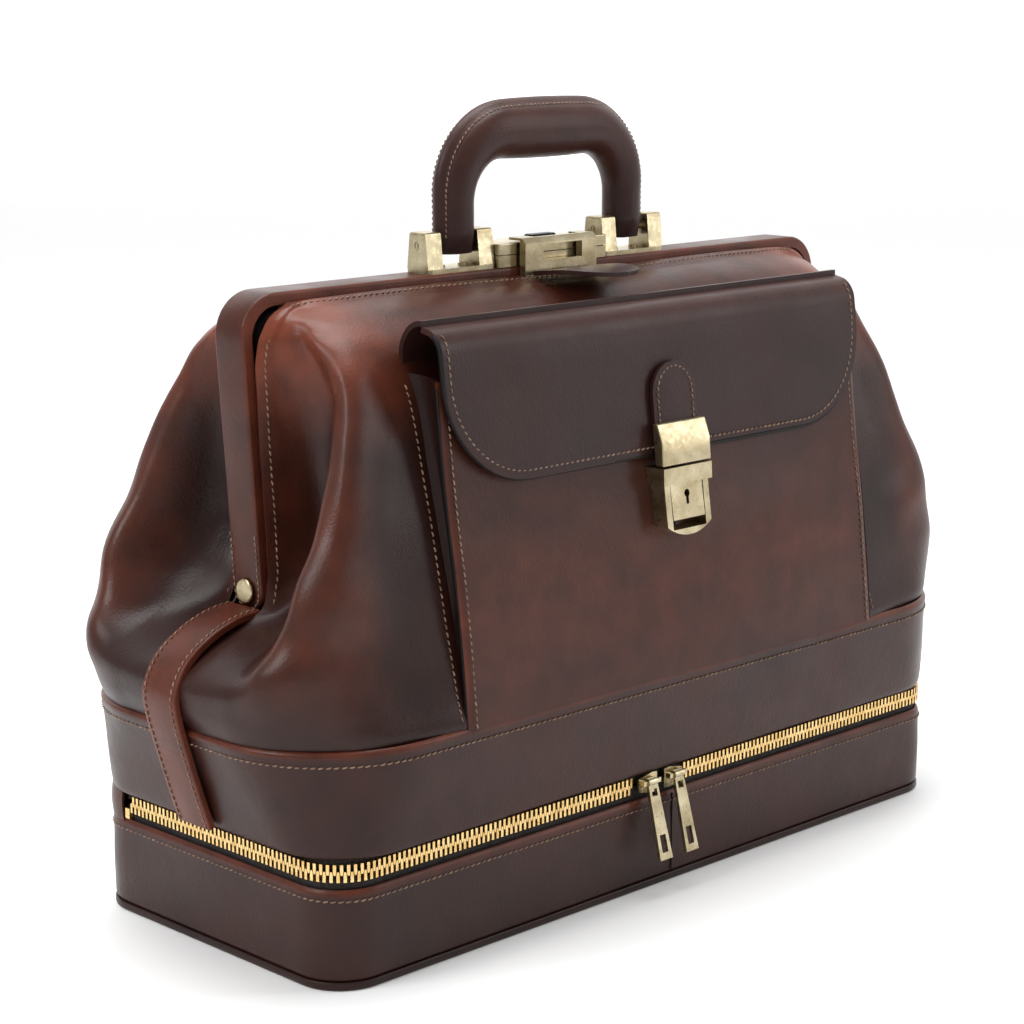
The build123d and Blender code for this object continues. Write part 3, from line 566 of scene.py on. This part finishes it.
EDGE_STITCH_INSET = 4.2
edge_points, edge_ups = rim_path(front_grid, EDGE_STITCH_INSET)
stitch_piece("front_edge_stitches", edge_points * MM, edge_ups, "main")
back_stitches = stitch_piece("back_edge_stitches", edge_points * MIRROR_Y * MM, edge_ups * MIRROR_Y, None)
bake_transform(back_stitches)


# -------------------------------------------------------- rounded rectangles
def round_rect(length, depth, corner, count):
    """Points round a rounded rectangle from the back's middle, and the directions out from them."""
    half_x, half_y = length / 2 - corner, depth / 2 - corner
    points, outs = [(0.0, depth / 2)], [(0.0, 1.0)]
    corners = ((-half_x, half_y, 90), (-half_x, -half_y, 180), (half_x, -half_y, 270), (half_x, half_y, 0))
    for cx, cy, start in corners:
        for turn in np.radians(np.linspace(start, start + 90, 13)):
            points.append((cx + corner * math.cos(turn), cy + corner * math.sin(turn)))
            outs.append((math.cos(turn), math.sin(turn)))
    points.append((0.0, depth / 2))
    outs.append((0.0, 1.0))
    return resample(points, count), resample_with(points, outs, count)


BASE_LENGTH, BASE_DEPTH, BASE_CORNER = 420.0, 172.0, 23.0
RING_COLUMNS = 241


def ring_wall(name, stations, body):
    """A leather wall round the bag. stations are (z, length, depth, corner) from the bottom up."""
    levels = []
    for z, length, depth, corner in stations:
        points, _ = round_rect(length, depth, corner, RING_COLUMNS)
        levels.append([(x, y, z) for x, y in points])
    levels = np.array(levels)
    columns = [smooth_line(levels[:, j], 4 * len(stations)) for j in range(RING_COLUMNS)]
    return shell_piece(name, np.stack(columns, axis=1) * MM, SKIN_THICK * MM, LEATHER, body)


# The lower compartment's wall, as (z, growth over the base's length and depth, corner).
WALL = [(4.2, -2.4, 22), (6.0, -0.8, 22.5), (14, -0.2, 23), (25, 0.0, 23), (36, -0.4, 23), (41.5, -0.2, 23),
        (44.0, -1.0, 23), (44.9, -3.0, 22)]
lower_wall = ring_wall(
    "lower_wall", [(z, BASE_LENGTH + grow, BASE_DEPTH + grow, corner) for z, grow, corner in WALL], "base")
mark_worn(lower_wall, lambda p: 0.08 + 0.5 * np.clip((p[:, 2] - 41) / 3, 0, 1))
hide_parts("lower_wall_leather")

welt_path, welt_out = round_rect(BASE_LENGTH - 1.8, BASE_DEPTH - 1.8, 22.5, 240)
welt_points = np.array([(x, y, 0.0) for x, y in welt_path[:-1]])
welt_sides = np.array([(x, y, 0.0) for x, y in welt_out[:-1]])
welt_ups = np.tile([0, 0, 1.0], (len(welt_points), 1))
WELT = [(-6, 0.0), (-1.2, 0.0), (0.4, 0.5), (0.95, 1.6), (0.8, 2.9), (-0.2, 3.8), (-2, 4.0), (-6, 4.0)]
bottom_welt = sweep_piece(
    "bottom_welt", welt_points * MM, welt_sides, welt_ups, [(a * MM, b * MM) for a, b in WELT],
    LEATHER, "base", closed=True)
mark_worn(bottom_welt, 0.05)
bevelled("bottom_leather", LEATHER, 0.6)

# The band flares more at its ends than at its front, and is turned in at both edges.
BAND = [(59.2, 420.5, 172.5, 32), (58.3, 424.0, 176.0, 34), (62, 427.5, 178.5, 36), (75, 435.0, 182.0, 43),
        (92, 446.0, 185.6, 54), (100, 451.6, 187.2, 59), (103.6, 454.4, 188.2, 61),
        (105.4, 453.6, 187.4, 61), (106.0, 451.0, 185.0, 60)]
band = ring_wall("lower_band_skin", BAND, "main")
mark_worn(band, lambda p: 0.10 + 0.55 * np.clip((p[:, 2] - 102.5) / 2.5, 0, 1))
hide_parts("lower_band")


def ring_stitches(name, z, length, depth, corner, body):
    path, out = round_rect(length, depth, corner, 900)
    points = np.array([(x, y, z) for x, y in path])
    outs = np.array([(x, y, 0.0) for x, y in out])
    stitch_piece(name, points * MM, outs, body)


ring_stitches("band_stitches", 99.6, 451.6, 187.5, 59, "main")
ring_stitches("wall_stitches", 40.2, BASE_LENGTH - 0.1, BASE_DEPTH - 0.1, BASE_CORNER, "base")

seam = np.array([(0.0, -BASE_DEPTH / 2 - 0.15, z) for z in np.linspace(5.0, 43.6, 20)])
sweep_piece("wall_butt_seam", seam * MM, np.tile([1.0, 0, 0], (20, 1)), np.tile([0, -1.0, 0], (20, 1)),
            oval_profile(0.35, 0.35, 8), EDGE, "base")

# ------------------------------------------------------------- frame's cover
COVER_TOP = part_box("frame_cover")[1][2] / MM
COVER_HALF = 9.6
COVER_THICK = 5.6
COVER_CORNER = 19.0
RIVET_Z = 158.5
# The frame's legs lean outwards, from HALF_LOW at LOW_Z.
LEAN = 0.0665
HALF_LOW, LOW_Z = 184.0, 150.0


def cover_x(z):
    return HALF_LOW + LEAN * (z - LOW_Z)


def cover_line():
    """The cover's outer line from the left rivet over the top to the right rivet, in XZ."""
    points = [(-cover_x(RIVET_Z), RIVET_Z)]
    lean = math.atan(LEAN)
    centre_x = cover_x(COVER_TOP) - COVER_CORNER * 1.06
    centre_z = COVER_TOP - COVER_CORNER
    for turn in np.linspace(math.pi + lean, math.pi / 2, 16):
        points.append((-centre_x + COVER_CORNER * math.cos(turn), centre_z + COVER_CORNER * math.sin(turn)))
    points += [(-x, z) for x, z in reversed(points)]
    return resample(points, 220)


def cover_band():
    """The leather over the rear frame half: a wide rounded band with round feet."""
    line = cover_line()
    tangent, out = directions(line)
    path, along, outs = in_xz(line), in_xz(tangent), in_xz(out)
    profile = rounded_profile(COVER_HALF, COVER_THICK, 1.5, 5)

    def section(centre, outward, narrow=1.0):
        return [centre + np.array([0, a * narrow, 0]) + outward * (b - COVER_THICK) for a, b in profile]

    def foot(end, down, outward):
        """Sections beyond the end of the line, which narrow to a half circle."""
        turns = np.linspace(0, math.pi / 2, 11)[1:]
        return [section(end + down * COVER_HALF * math.sin(t), outward, max(math.cos(t), 0.03))
                for t in turns]

    rows = foot(path[0], -along[0], outs[0])[::-1]
    rows += [section(p, o) for p, o in zip(path, outs)]
    rows += foot(path[-1], along[-1], outs[-1])
    vertices = [v * MM for row in rows for v in row]
    faces = tube_faces(len(rows), len(profile))
    return make_piece("frame_cover_leather", vertices, faces, LEATHER, "rear_frame", sharp=60)


cover = cover_band()
mark_worn(cover, lambda p: 0.28 + 0.5 * np.clip((np.abs(p[:, 1]) - 8.2) / 1.2, 0, 1))
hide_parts("frame_cover")


def foot_stitches(side, name):
    """A U of stitches round the foot of the cover, below and beside the rivet."""
    radius = COVER_HALF - 1.3
    line = [(radius, RIVET_Z + 26 - k * 2.2) for k in range(12)]
    line += [(radius * math.cos(t), RIVET_Z - radius * math.sin(t)) for t in np.linspace(0, math.pi, 17)]
    line += [(-radius, RIVET_Z + k * 2.2) for k in range(1, 13)]
    points = np.array([(side * (cover_x(z) + 0.05), y, z) for y, z in line])
    stitch_piece(f"foot_stitches_{name}", points * MM, np.tile([side, 0, 0], (len(points), 1)), "rear_frame",
                 pitch=2.9, length=2.1)


for side, name in SIDES:
    foot_stitches(side, name)

# ---------------------------------------------------------------- end straps
STRAP = [(186.6, 150.4), (199, 148.8), (213, 143.6), (226, 134.4), (232.6, 122), (231.6, 111),
         (228.0, 98), (221.8, 78), (215.4, 59.2)]


def end_strap(side, name):
    line = smooth_line(STRAP, 70)
    mirror = np.array([side, 1, 1])
    path = in_xz(line) * mirror
    ups = in_xz(directions(line)[1]) * mirror
    sides = np.tile([0, float(-side), 0], (len(path), 1))
    profile = [(a * MM, (b - 1.2) * MM) for a, b in rounded_profile(11.5, 3.0, 0.9)]
    strap = sweep_piece(f"end_strap_{name}_leather", path * MM, sides, ups, profile, LEATHER, "main")
    mark_worn(strap, lambda p: 0.35 + 0.4 * np.clip((np.abs(p[:, 1]) - 10) / 1.3, 0, 1))
    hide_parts(f"end_strap_{name}")
    for edge, label in FACES:
        row = path + ups * 1.85 + np.array([0, edge * 9.2, 0])
        stitch_piece(f"strap_{name}_{label}_stitches", row * MM, ups, "main")


for side, name in SIDES:
    end_strap(side, name)

# -------------------------------------------------------------------- pocket
# Side views, as (y, z): the pocket's panel, its seam with the bag's front, the flap from its fold
# to its lower edge, the fold's loop, and the flap's lock tab.
PANEL = [(-94.6, 104.8), (-91.6, 135), (-87.4, 168), (-82.8, 195), (-79.1, 222), (-75.8, 254)]
SEAM = [(-91.6, 104.8), (-86.2, 135), (-79.2, 168), (-72.6, 195), (-66.2, 222), (-55.8, 256)]
FLAP_LINE = [(-65.5, 276.8), (-72.5, 274.8), (-77.0, 269.5), (-78.5, 262), (-80.4, 245), (-82.8, 226),
             (-85.2, 208)]
LOOP = [(-54.3, 256), (-53.6, 262), (-54.0, 268), (-57.5, 273.6), (-62, 276.4), (-65.6, 276.8)]
TAB_LINE = [(-87.6, 206), (-85.25, 226), (-82.5, 250)]
POCKET_HALF = 140.0
FLAP_LOW = 208.0
FLAP_CORNER = 46.0


def panel_grid(line, rows, columns, half_at=lambda z: POCKET_HALF):
    """A sheet across the bag with its side view along the line and half_at as half its width."""
    return np.array([[(x, y, z) for x in np.linspace(-half_at(z), half_at(z), columns)]
                     for y, z in smooth_line(line, rows)])


pocket_grid = panel_grid(PANEL, 60, 121)
pocket_x, pocket_z = pocket_grid[..., 0], pocket_grid[..., 2]
edge_in = np.clip((POCKET_HALF - np.abs(pocket_x)) / 2.5, 0, 1)
pocket_grid[..., 1] += (1 - edge_in) ** 2 + 0.6 * np.sin(pocket_x / 37) * np.sin(pocket_z / 29)
pocket = shell_piece("pocket_panel_leather", pocket_grid * MM, 2.2 * MM, LEATHER, "main")
mark_worn(pocket, lambda p: 0.14 + 0.22 * np.clip(1 - np.abs(p[:, 2] - 150) / 70, 0, 1)
          + 0.5 * np.clip((np.abs(p[:, 0]) - 137.5) / 2.5, 0, 1))
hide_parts("pocket_panel")


def side_gusset(side, name):
    """The pocket's folded side strip, from the panel's edge back to the bag's front."""
    front = smooth_line([(y + 1.6, z) for y, z in PANEL], 50)
    back = smooth_line([(y + 0.4, z) for y, z in SEAM], 50)
    rows = []
    for a, b in zip(front, back):
        across = [(side * (POCKET_HALF - 1.6 - 3.0 * math.sin(math.pi * t)), *(a + (b - a) * t))
                  for t in np.linspace(0, 1, 9)]
        rows.append(across)
    gusset = shell_piece(f"gusset_{name}", np.array(rows) * MM, 1.2 * MM, LEATHER, "main", flip=side > 0)
    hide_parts("pocket_gusset")


for side, name in SIDES:
    side_gusset(side, name)


def skin_line(reach, low, high):
    """The line up the skin's front at a distance left of the middle, and its directions out."""
    front = slice(sum(SPANS[:4]), sum(SPANS))
    points, ups = [], []
    for row, direction in zip(front_grid, grid_normals(front_grid)):
        spot = values_at(-reach, row[front, 0], row[front])
        if low < spot[2] < high:
            points.append(spot)
            ups.append(values_at(-reach, row[front, 0], direction[front]))
    return np.array(points), np.array(ups)


def pocket_side(side, name):
    """The panel's stitches and, beside them, the stitches of its seam with the bag's front."""
    line = smooth_line(PANEL, 120)
    line = line[line[:, 1] < 250]
    points = np.array([(side * (POCKET_HALF - 4.2), y - 0.05, z) for y, z in line])
    stitch_piece(f"pocket_stitches_{name}", points * MM, np.tile([0, -1.0, 0], (len(points), 1)), "main")
    points, ups = skin_line(POCKET_HALF + 2.8, 108, 254)
    mirror = np.array([-side, 1, 1])
    stitch_piece(f"pocket_seam_stitches_{name}", points * mirror * MM, ups * mirror, "main")


def pocket_edge(side, name):
    """The dark paint on the panel's cut edge."""
    line = smooth_line(PANEL, 100)
    line = line[line[:, 1] < 252]
    path = np.array([(side * (POCKET_HALF - 0.1), y + 1.9, z) for y, z in line])
    ups = np.array([(0, -b, a) for a, b in directions(line)[0]])
    sides = np.tile([1.0, 0, 0], (len(path), 1))
    sweep_piece(f"pocket_edge_paint_{name}", path * MM, sides, ups, oval_profile(0.55, 1.15, 10),
                EDGE, "main")


for side, name in SIDES:
    pocket_side(side, name)
for side, name in SIDES:
    pocket_edge(side, name)


def flap_half(z):
    """Half the flap's length at a height: straight sides, large rounded lower corners."""
    drop = max(FLAP_LOW + FLAP_CORNER - z, 0.0)
    return POCKET_HALF - FLAP_CORNER + math.sqrt(max(FLAP_CORNER ** 2 - drop ** 2, 0.0))


flap_grid = panel_grid(FLAP_LINE, 90, 101, flap_half)[::-1]
flap_hang = np.clip((272 - flap_grid[..., 2]) / 30, 0, 1)
flap_grid[..., 1] += 0.5 * np.sin(flap_grid[..., 0] / 42 + 0.6) * flap_hang
flap = shell_piece("pocket_flap_leather", flap_grid * MM, 2.6 * MM, FLAP)
mark_worn(flap, lambda p: 0.10 + 0.25 * np.clip((p[:, 2] - 262) / 12, 0, 1))
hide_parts("pocket_flap")
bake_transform(flap)

fold = shell_piece("flap_fold_leather", panel_grid(LOOP, 24, 61) * MM, 2.4 * MM, FLAP, "main")
mark_worn(fold, 0.15)
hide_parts("flap_fold")


def flap_edge_path(inset):
    """A line on the flap, inset from its edge: down one side, along the bottom and up the other."""
    half, low, corner = POCKET_HALF - inset, FLAP_LOW + inset, FLAP_CORNER - inset
    outline = [(-half, 274.0), (-half, low + corner)]
    outline += [(-half + corner - corner * math.cos(t), low + corner - corner * math.sin(t))
                for t in np.linspace(0, math.pi / 2, 14)]
    outline += [(-x, z) for x, z in reversed(outline)]
    curve = smooth_line(FLAP_LINE, 200)[::-1]
    slope = np.gradient(curve, axis=0)
    points, ups = [], []
    for x, z in resample(outline, 420):
        y = np.interp(z, curve[:, 1], curve[:, 0])
        dy, dz = unit(values_at(z, curve[:, 1], slope))
        points.append((x, y - dz * 0.1, z))
        ups.append((0, -dz, dy))
    return np.array(points), np.array(ups)


points, ups = flap_edge_path(3.6)
flap_stitches = stitch_piece("flap_stitches", points * MM, ups, None)
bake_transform(flap_stitches)
points, ups = flap_edge_path(0.4)
sides = np.cross(np.gradient(points, axis=0), ups)
sides /= np.linalg.norm(sides, axis=1, keepdims=True)
rim = oval_profile(1.0, 1.45, 10, shift=-1.3)
flap_rim = sweep_piece("flap_edge_paint", points * MM, sides, ups, rim, EDGE)
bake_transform(flap_rim)

# ------------------------------------------------------------ flap's lock tab
TAB_HALF = 14.5
TAB_TOP = 250.0
ARCH_HALF, ARCH_Z = 11.6, 236.0


def tab_half(z):
    rise = max(z - (TAB_TOP - TAB_HALF), 0.0)
    return math.sqrt(max(TAB_HALF ** 2 - rise ** 2, 0.15))


tab_grid = panel_grid(TAB_LINE, 50, 25, tab_half)
tab_grid[..., 1] -= 0.7 * (1 - (tab_grid[..., 0] / TAB_HALF) ** 2)
lock_tab = shell_piece("flap_tab_leather", tab_grid * MM, 2.1 * MM, FLAP, "pocket_flap")
mark_worn(lock_tab, 0.12)
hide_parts("flap_tab")

arch = [(-ARCH_HALF, 222)]
arch += [(ARCH_HALF * math.cos(t), ARCH_Z + ARCH_HALF * math.sin(t)) for t in np.linspace(math.pi, 0, 15)]
arch += [(ARCH_HALF, 222)]
tab_curve = smooth_line(TAB_LINE, 100)
points = np.array([(x, np.interp(z, tab_curve[:, 1], tab_curve[:, 0]) - 0.35, z)
                   for x, z in resample(arch, 120)])
stitch_piece("tab_stitches", points * MM, np.tile([0, -1.0, 0.1], (len(points), 1)), "pocket_flap",
             pitch=2.9, length=2.1)

# -------------------------------------------------------------------- handle
# The handle, lock and pull tab sit left of the bag's middle.
HARDWARE_X = -3.0
LEG_X, PIN_Z, TOP_Z, SHOULDER_Z = 56.5, 302.0, 352.0, 322.0
LEG_DROP = 4.6
GRIP_RING = 40
GROOVE_FROM, RIDGE_FROM = 0.80, 0.93


def handle_stations(count):
    """The grip's middle line over the bag, in XZ, and the directions out from it."""
    corner = TOP_Z - SHOULDER_Z
    line = [(-LEG_X, PIN_Z - LEG_DROP), (-LEG_X, SHOULDER_Z)]
    line += [(-LEG_X + corner - corner * math.cos(t), SHOULDER_Z + corner * math.sin(t))
             for t in np.linspace(0, math.pi / 2, 20)]
    line += [(-x, z) for x, z in reversed(line)]
    line = resample(line, count)
    return line, directions(line)[1]


def handle_size(fraction):
    """Half the grip's depth and half its height at a share of its length."""
    swell = math.sin(math.pi * min(max((fraction - 0.12) / 0.76, 0), 1))
    taper = min(1.0, 0.72 + 6.0 * min(fraction, 1 - fraction))
    return (9.0 + 2.5 * swell) * taper, 10.0 + 3.6 * swell


def handle_piece():
    """Padded grip: an oval tube that swells in the middle, with its seam ridge outside."""
    line, outs = handle_stations(120)
    vertices = []
    for k, ((x, z), (ox, oz)) in enumerate(zip(line, outs)):
        depth, radial = handle_size(k / (len(line) - 1))
        for turn in np.linspace(0, 2 * math.pi, GRIP_RING, endpoint=False):
            outward = math.sin(turn)
            reach, across = radial * outward, depth * math.cos(turn)
            if outward > RIDGE_FROM:
                reach += 1.5 * (outward - RIDGE_FROM) / (1 - RIDGE_FROM)
                across *= 0.95
            elif outward > GROOVE_FROM:
                reach -= 0.5 * math.sin(math.pi * (outward - GROOVE_FROM) / (RIDGE_FROM - GROOVE_FROM))
            vertices.append(((HARDWARE_X + x + ox * reach) * MM, across * MM, (z + oz * reach) * MM))
    faces = tube_faces(len(line), GRIP_RING)
    return make_piece("handle_leather", vertices, faces, FLAP, "handle", sharp=70)


grip = handle_piece()
mark_worn(grip, lambda p: 0.25 + 0.2 * np.clip((p[:, 2] - 330) / 30, 0, 1))
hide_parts("handle_grip")


def handle_stitches(side, name):
    line, outs = handle_stations(400)
    outward, across = math.sin(math.radians(60)), side * math.cos(math.radians(60))
    points, ups = [], []
    for k, ((x, z), (ox, oz)) in enumerate(zip(line, outs)):
        depth, radial = handle_size(k / (len(line) - 1))
        reach = radial * outward
        points.append((HARDWARE_X + x + ox * reach, depth * across, z + oz * reach))
        ups.append(unit(np.array([ox * outward / radial, across / depth, oz * outward / radial])))
    stitch_piece(f"handle_stitches_{name}", np.array(points)[14:-14] * MM, ups[14:-14], "handle",
                 pitch=2.6, length=1.9, width=0.36)


for side, name in FACES:
    handle_stitches(side, name)

# ------------------------------------------------------------------ pull tab
pull_low, pull_high = np.array(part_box("pull_tab")) / MM
PULL_HALF = 21.0
PULL_STRAIGHT = 0.3


def pull_tab():
    """A tongue with a half-round tip, humped near the latch and drooping at its sides."""
    back, tip = pull_high[1] - 1.0, pull_low[1]
    rows = []
    for t in np.linspace(0, 1, 40):
        past = max(t - PULL_STRAIGHT, 0.0) / (1 - PULL_STRAIGHT)
        half = PULL_HALF * math.sqrt(max(1 - past ** 2.4, 0.0004))
        z = pull_high[2] - 1.5 + 2.8 * math.sin(math.pi * t * 0.8) - 0.2 * t
        rows.append([(HARDWARE_X + x, back + t * (tip - back), z - 0.0022 * x * x * t)
                     for x in np.linspace(-half, half, 25)])
    return shell_piece("pull_tab_leather", np.array(rows) * MM, 2.0 * MM, FLAP, "pull_tab")


tongue = pull_tab()
mark_worn(tongue, 0.1)
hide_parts("pull_tab")

# ------------------------------------------------------------ metal hardware
for node, width in (("bracket_left", 0.6), ("bracket_right", 0.6), ("pocket_lock_cap", 0.5),
                    ("frame_rivets", 0.3), ("handle_pins", 0.25)):
    bevelled(node, BRASS, width)
bevelled("top_lock_button", DARK, 0.4)

BLACKENED = metal_material("steel_blackened", (0.012, 0.011, 0.011), (0.03, 0.027, 0.026), 0.5)
FINISH = {
    "zipper_brass": ZIP_BRASS, "antique_brass": BRASS, "steel": BLACKENED, "lining": LINING, "board": BOARD,
    "zipper_tape": TAPE, "leather": LEATHER, "flap_leather": FLAP, "dark_metal": DARK}
SLOT_OF = {row["node"]: row["material_slot"] for row in frame["record"]["subparts"]}
for node, part in frame["nodes"].items():
    for place in part.material_slots:
        place.material = FINISH[SLOT_OF[node]]

# ------------------------------------------------------------- hinge leather
HINGE_LOW, HINGE_HIGH = 43.6, 59.4
HINGE_FRONT_Y = 60.5


def hinge_grid():
    """The strip between the two compartments, round the back and its two corners."""
    edge, _ = round_rect(BASE_LENGTH - 0.6, BASE_DEPTH - 0.2, BASE_CORNER, 400)
    edge = np.roll(edge[:-1], 200, axis=0)[::-1]
    edge = edge[edge[:, 1] > HINGE_FRONT_Y]
    rows = []
    for t in np.linspace(0, 1, 24):
        z = HINGE_LOW + t * (HINGE_HIGH - HINGE_LOW)
        bow = 0.5 * math.sin(math.pi * t)
        rows.append([(x * (1 + bow / 210), y + bow, z) for x, y in edge])
    return np.array(rows)


hinge = shell_piece("hinge_leather_strip", hinge_grid() * MM, 1.2 * MM, LEATHER, flip=True)
mark_worn(hinge, 0.2)
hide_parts("hinge_leather")
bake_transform(hinge)


# -------------------------------------------------------------- lock springs
def coil_piece(node, axis):
    """A lock's spring, copied rigid from its CAD piece onto its body; the real spring shortens against its
    case as the button is pushed.
    """
    piece = bpy.data.objects.new(node + "_coil", frame["nodes"][node].data.copy())
    bpy.context.collection.objects.link(piece)
    axis = np.array(axis, float)
    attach(piece, body_of(node))
    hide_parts(node)
    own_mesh(piece)


coil_piece("top_lock_spring", (1, 0, 0))
coil_piece("pocket_lock_spring", (0, 0, -1))

# -------------------------------------------------------------- stage, camera
def paper_sheet(name, material, shade, rough, glow, size, **place):
    """A white sheet which also gives off a little light."""
    bpy.ops.mesh.primitive_plane_add(size=size, **place)
    sheet = bpy.context.object
    sheet.name = name
    paper, nodes, _ = new_material(material)
    shader = nodes["Principled BSDF"]
    shader.inputs["Base Color"].default_value = (shade, shade, shade, 1)
    shader.inputs["Roughness"].default_value = rough
    shader.inputs["Emission Color"].default_value = (1, 1, 1, 1)
    shader.inputs["Emission Strength"].default_value = glow
    sheet.data.materials.append(paper)
    return sheet


floor = paper_sheet("floor", "paper", 0.88, 0.7, 0.12, 12, location=(0, 0, 0))
backdrop = paper_sheet("backdrop", "paper_lit", 0.9, 0.5, 0.85, 16, location=(3.4, 3.4, 0),
                       rotation=(math.radians(90), 0, math.radians(-45)))

world = bpy.data.worlds.new("studio")
bpy.context.scene.world = world
world.use_nodes = True
world.node_tree.nodes["Background"].inputs["Color"].default_value = (1.0, 1.0, 1.0, 1)
world.node_tree.nodes["Background"].inputs["Strength"].default_value = 0.46


MIDDLE = Vector((0, 0, 0.16))


def softbox(name, place, size, power):
    """A rectangular light aimed at the bag's middle."""
    light = bpy.data.lights.new(name, "AREA")
    light.shape = "RECTANGLE"
    light.size, light.size_y = size
    light.energy = power
    lamp = bpy.data.objects.new(name, light)
    bpy.context.collection.objects.link(lamp)
    lamp.location = place
    aim = MIDDLE - Vector(place)
    lamp.rotation_euler = aim.to_track_quat("-Z", "Y").to_euler()


softbox("key_left", (-1.7, 0.3, 1.5), (0.9, 0.9), 20)
softbox("top_soft", (0.1, 0.2, 2.0), (1.5, 1.1), 34)
softbox("front_right", (1.6, -1.6, 1.1), (0.5, 1.6), 12)
bpy.context.scene.view_settings.view_transform = "Standard"

CAMERA_AZIMUTH, CAMERA_PITCH = math.radians(-44.59), math.radians(11.80)
camera_data = bpy.data.cameras.new("camera")
camera_data.lens = 88.9
camera_data.sensor_width = 36
camera = bpy.data.objects.new("camera", camera_data)
bpy.context.collection.objects.link(camera)
camera.location = (-0.8586, -0.8490, 0.4188)
look = Vector((-math.sin(CAMERA_AZIMUTH) * math.cos(CAMERA_PITCH),
               math.cos(CAMERA_AZIMUTH) * math.cos(CAMERA_PITCH), -math.sin(CAMERA_PITCH)))
camera.rotation_euler = look.to_track_quat("-Z", "Y").to_euler()
bpy.context.scene.camera = camera
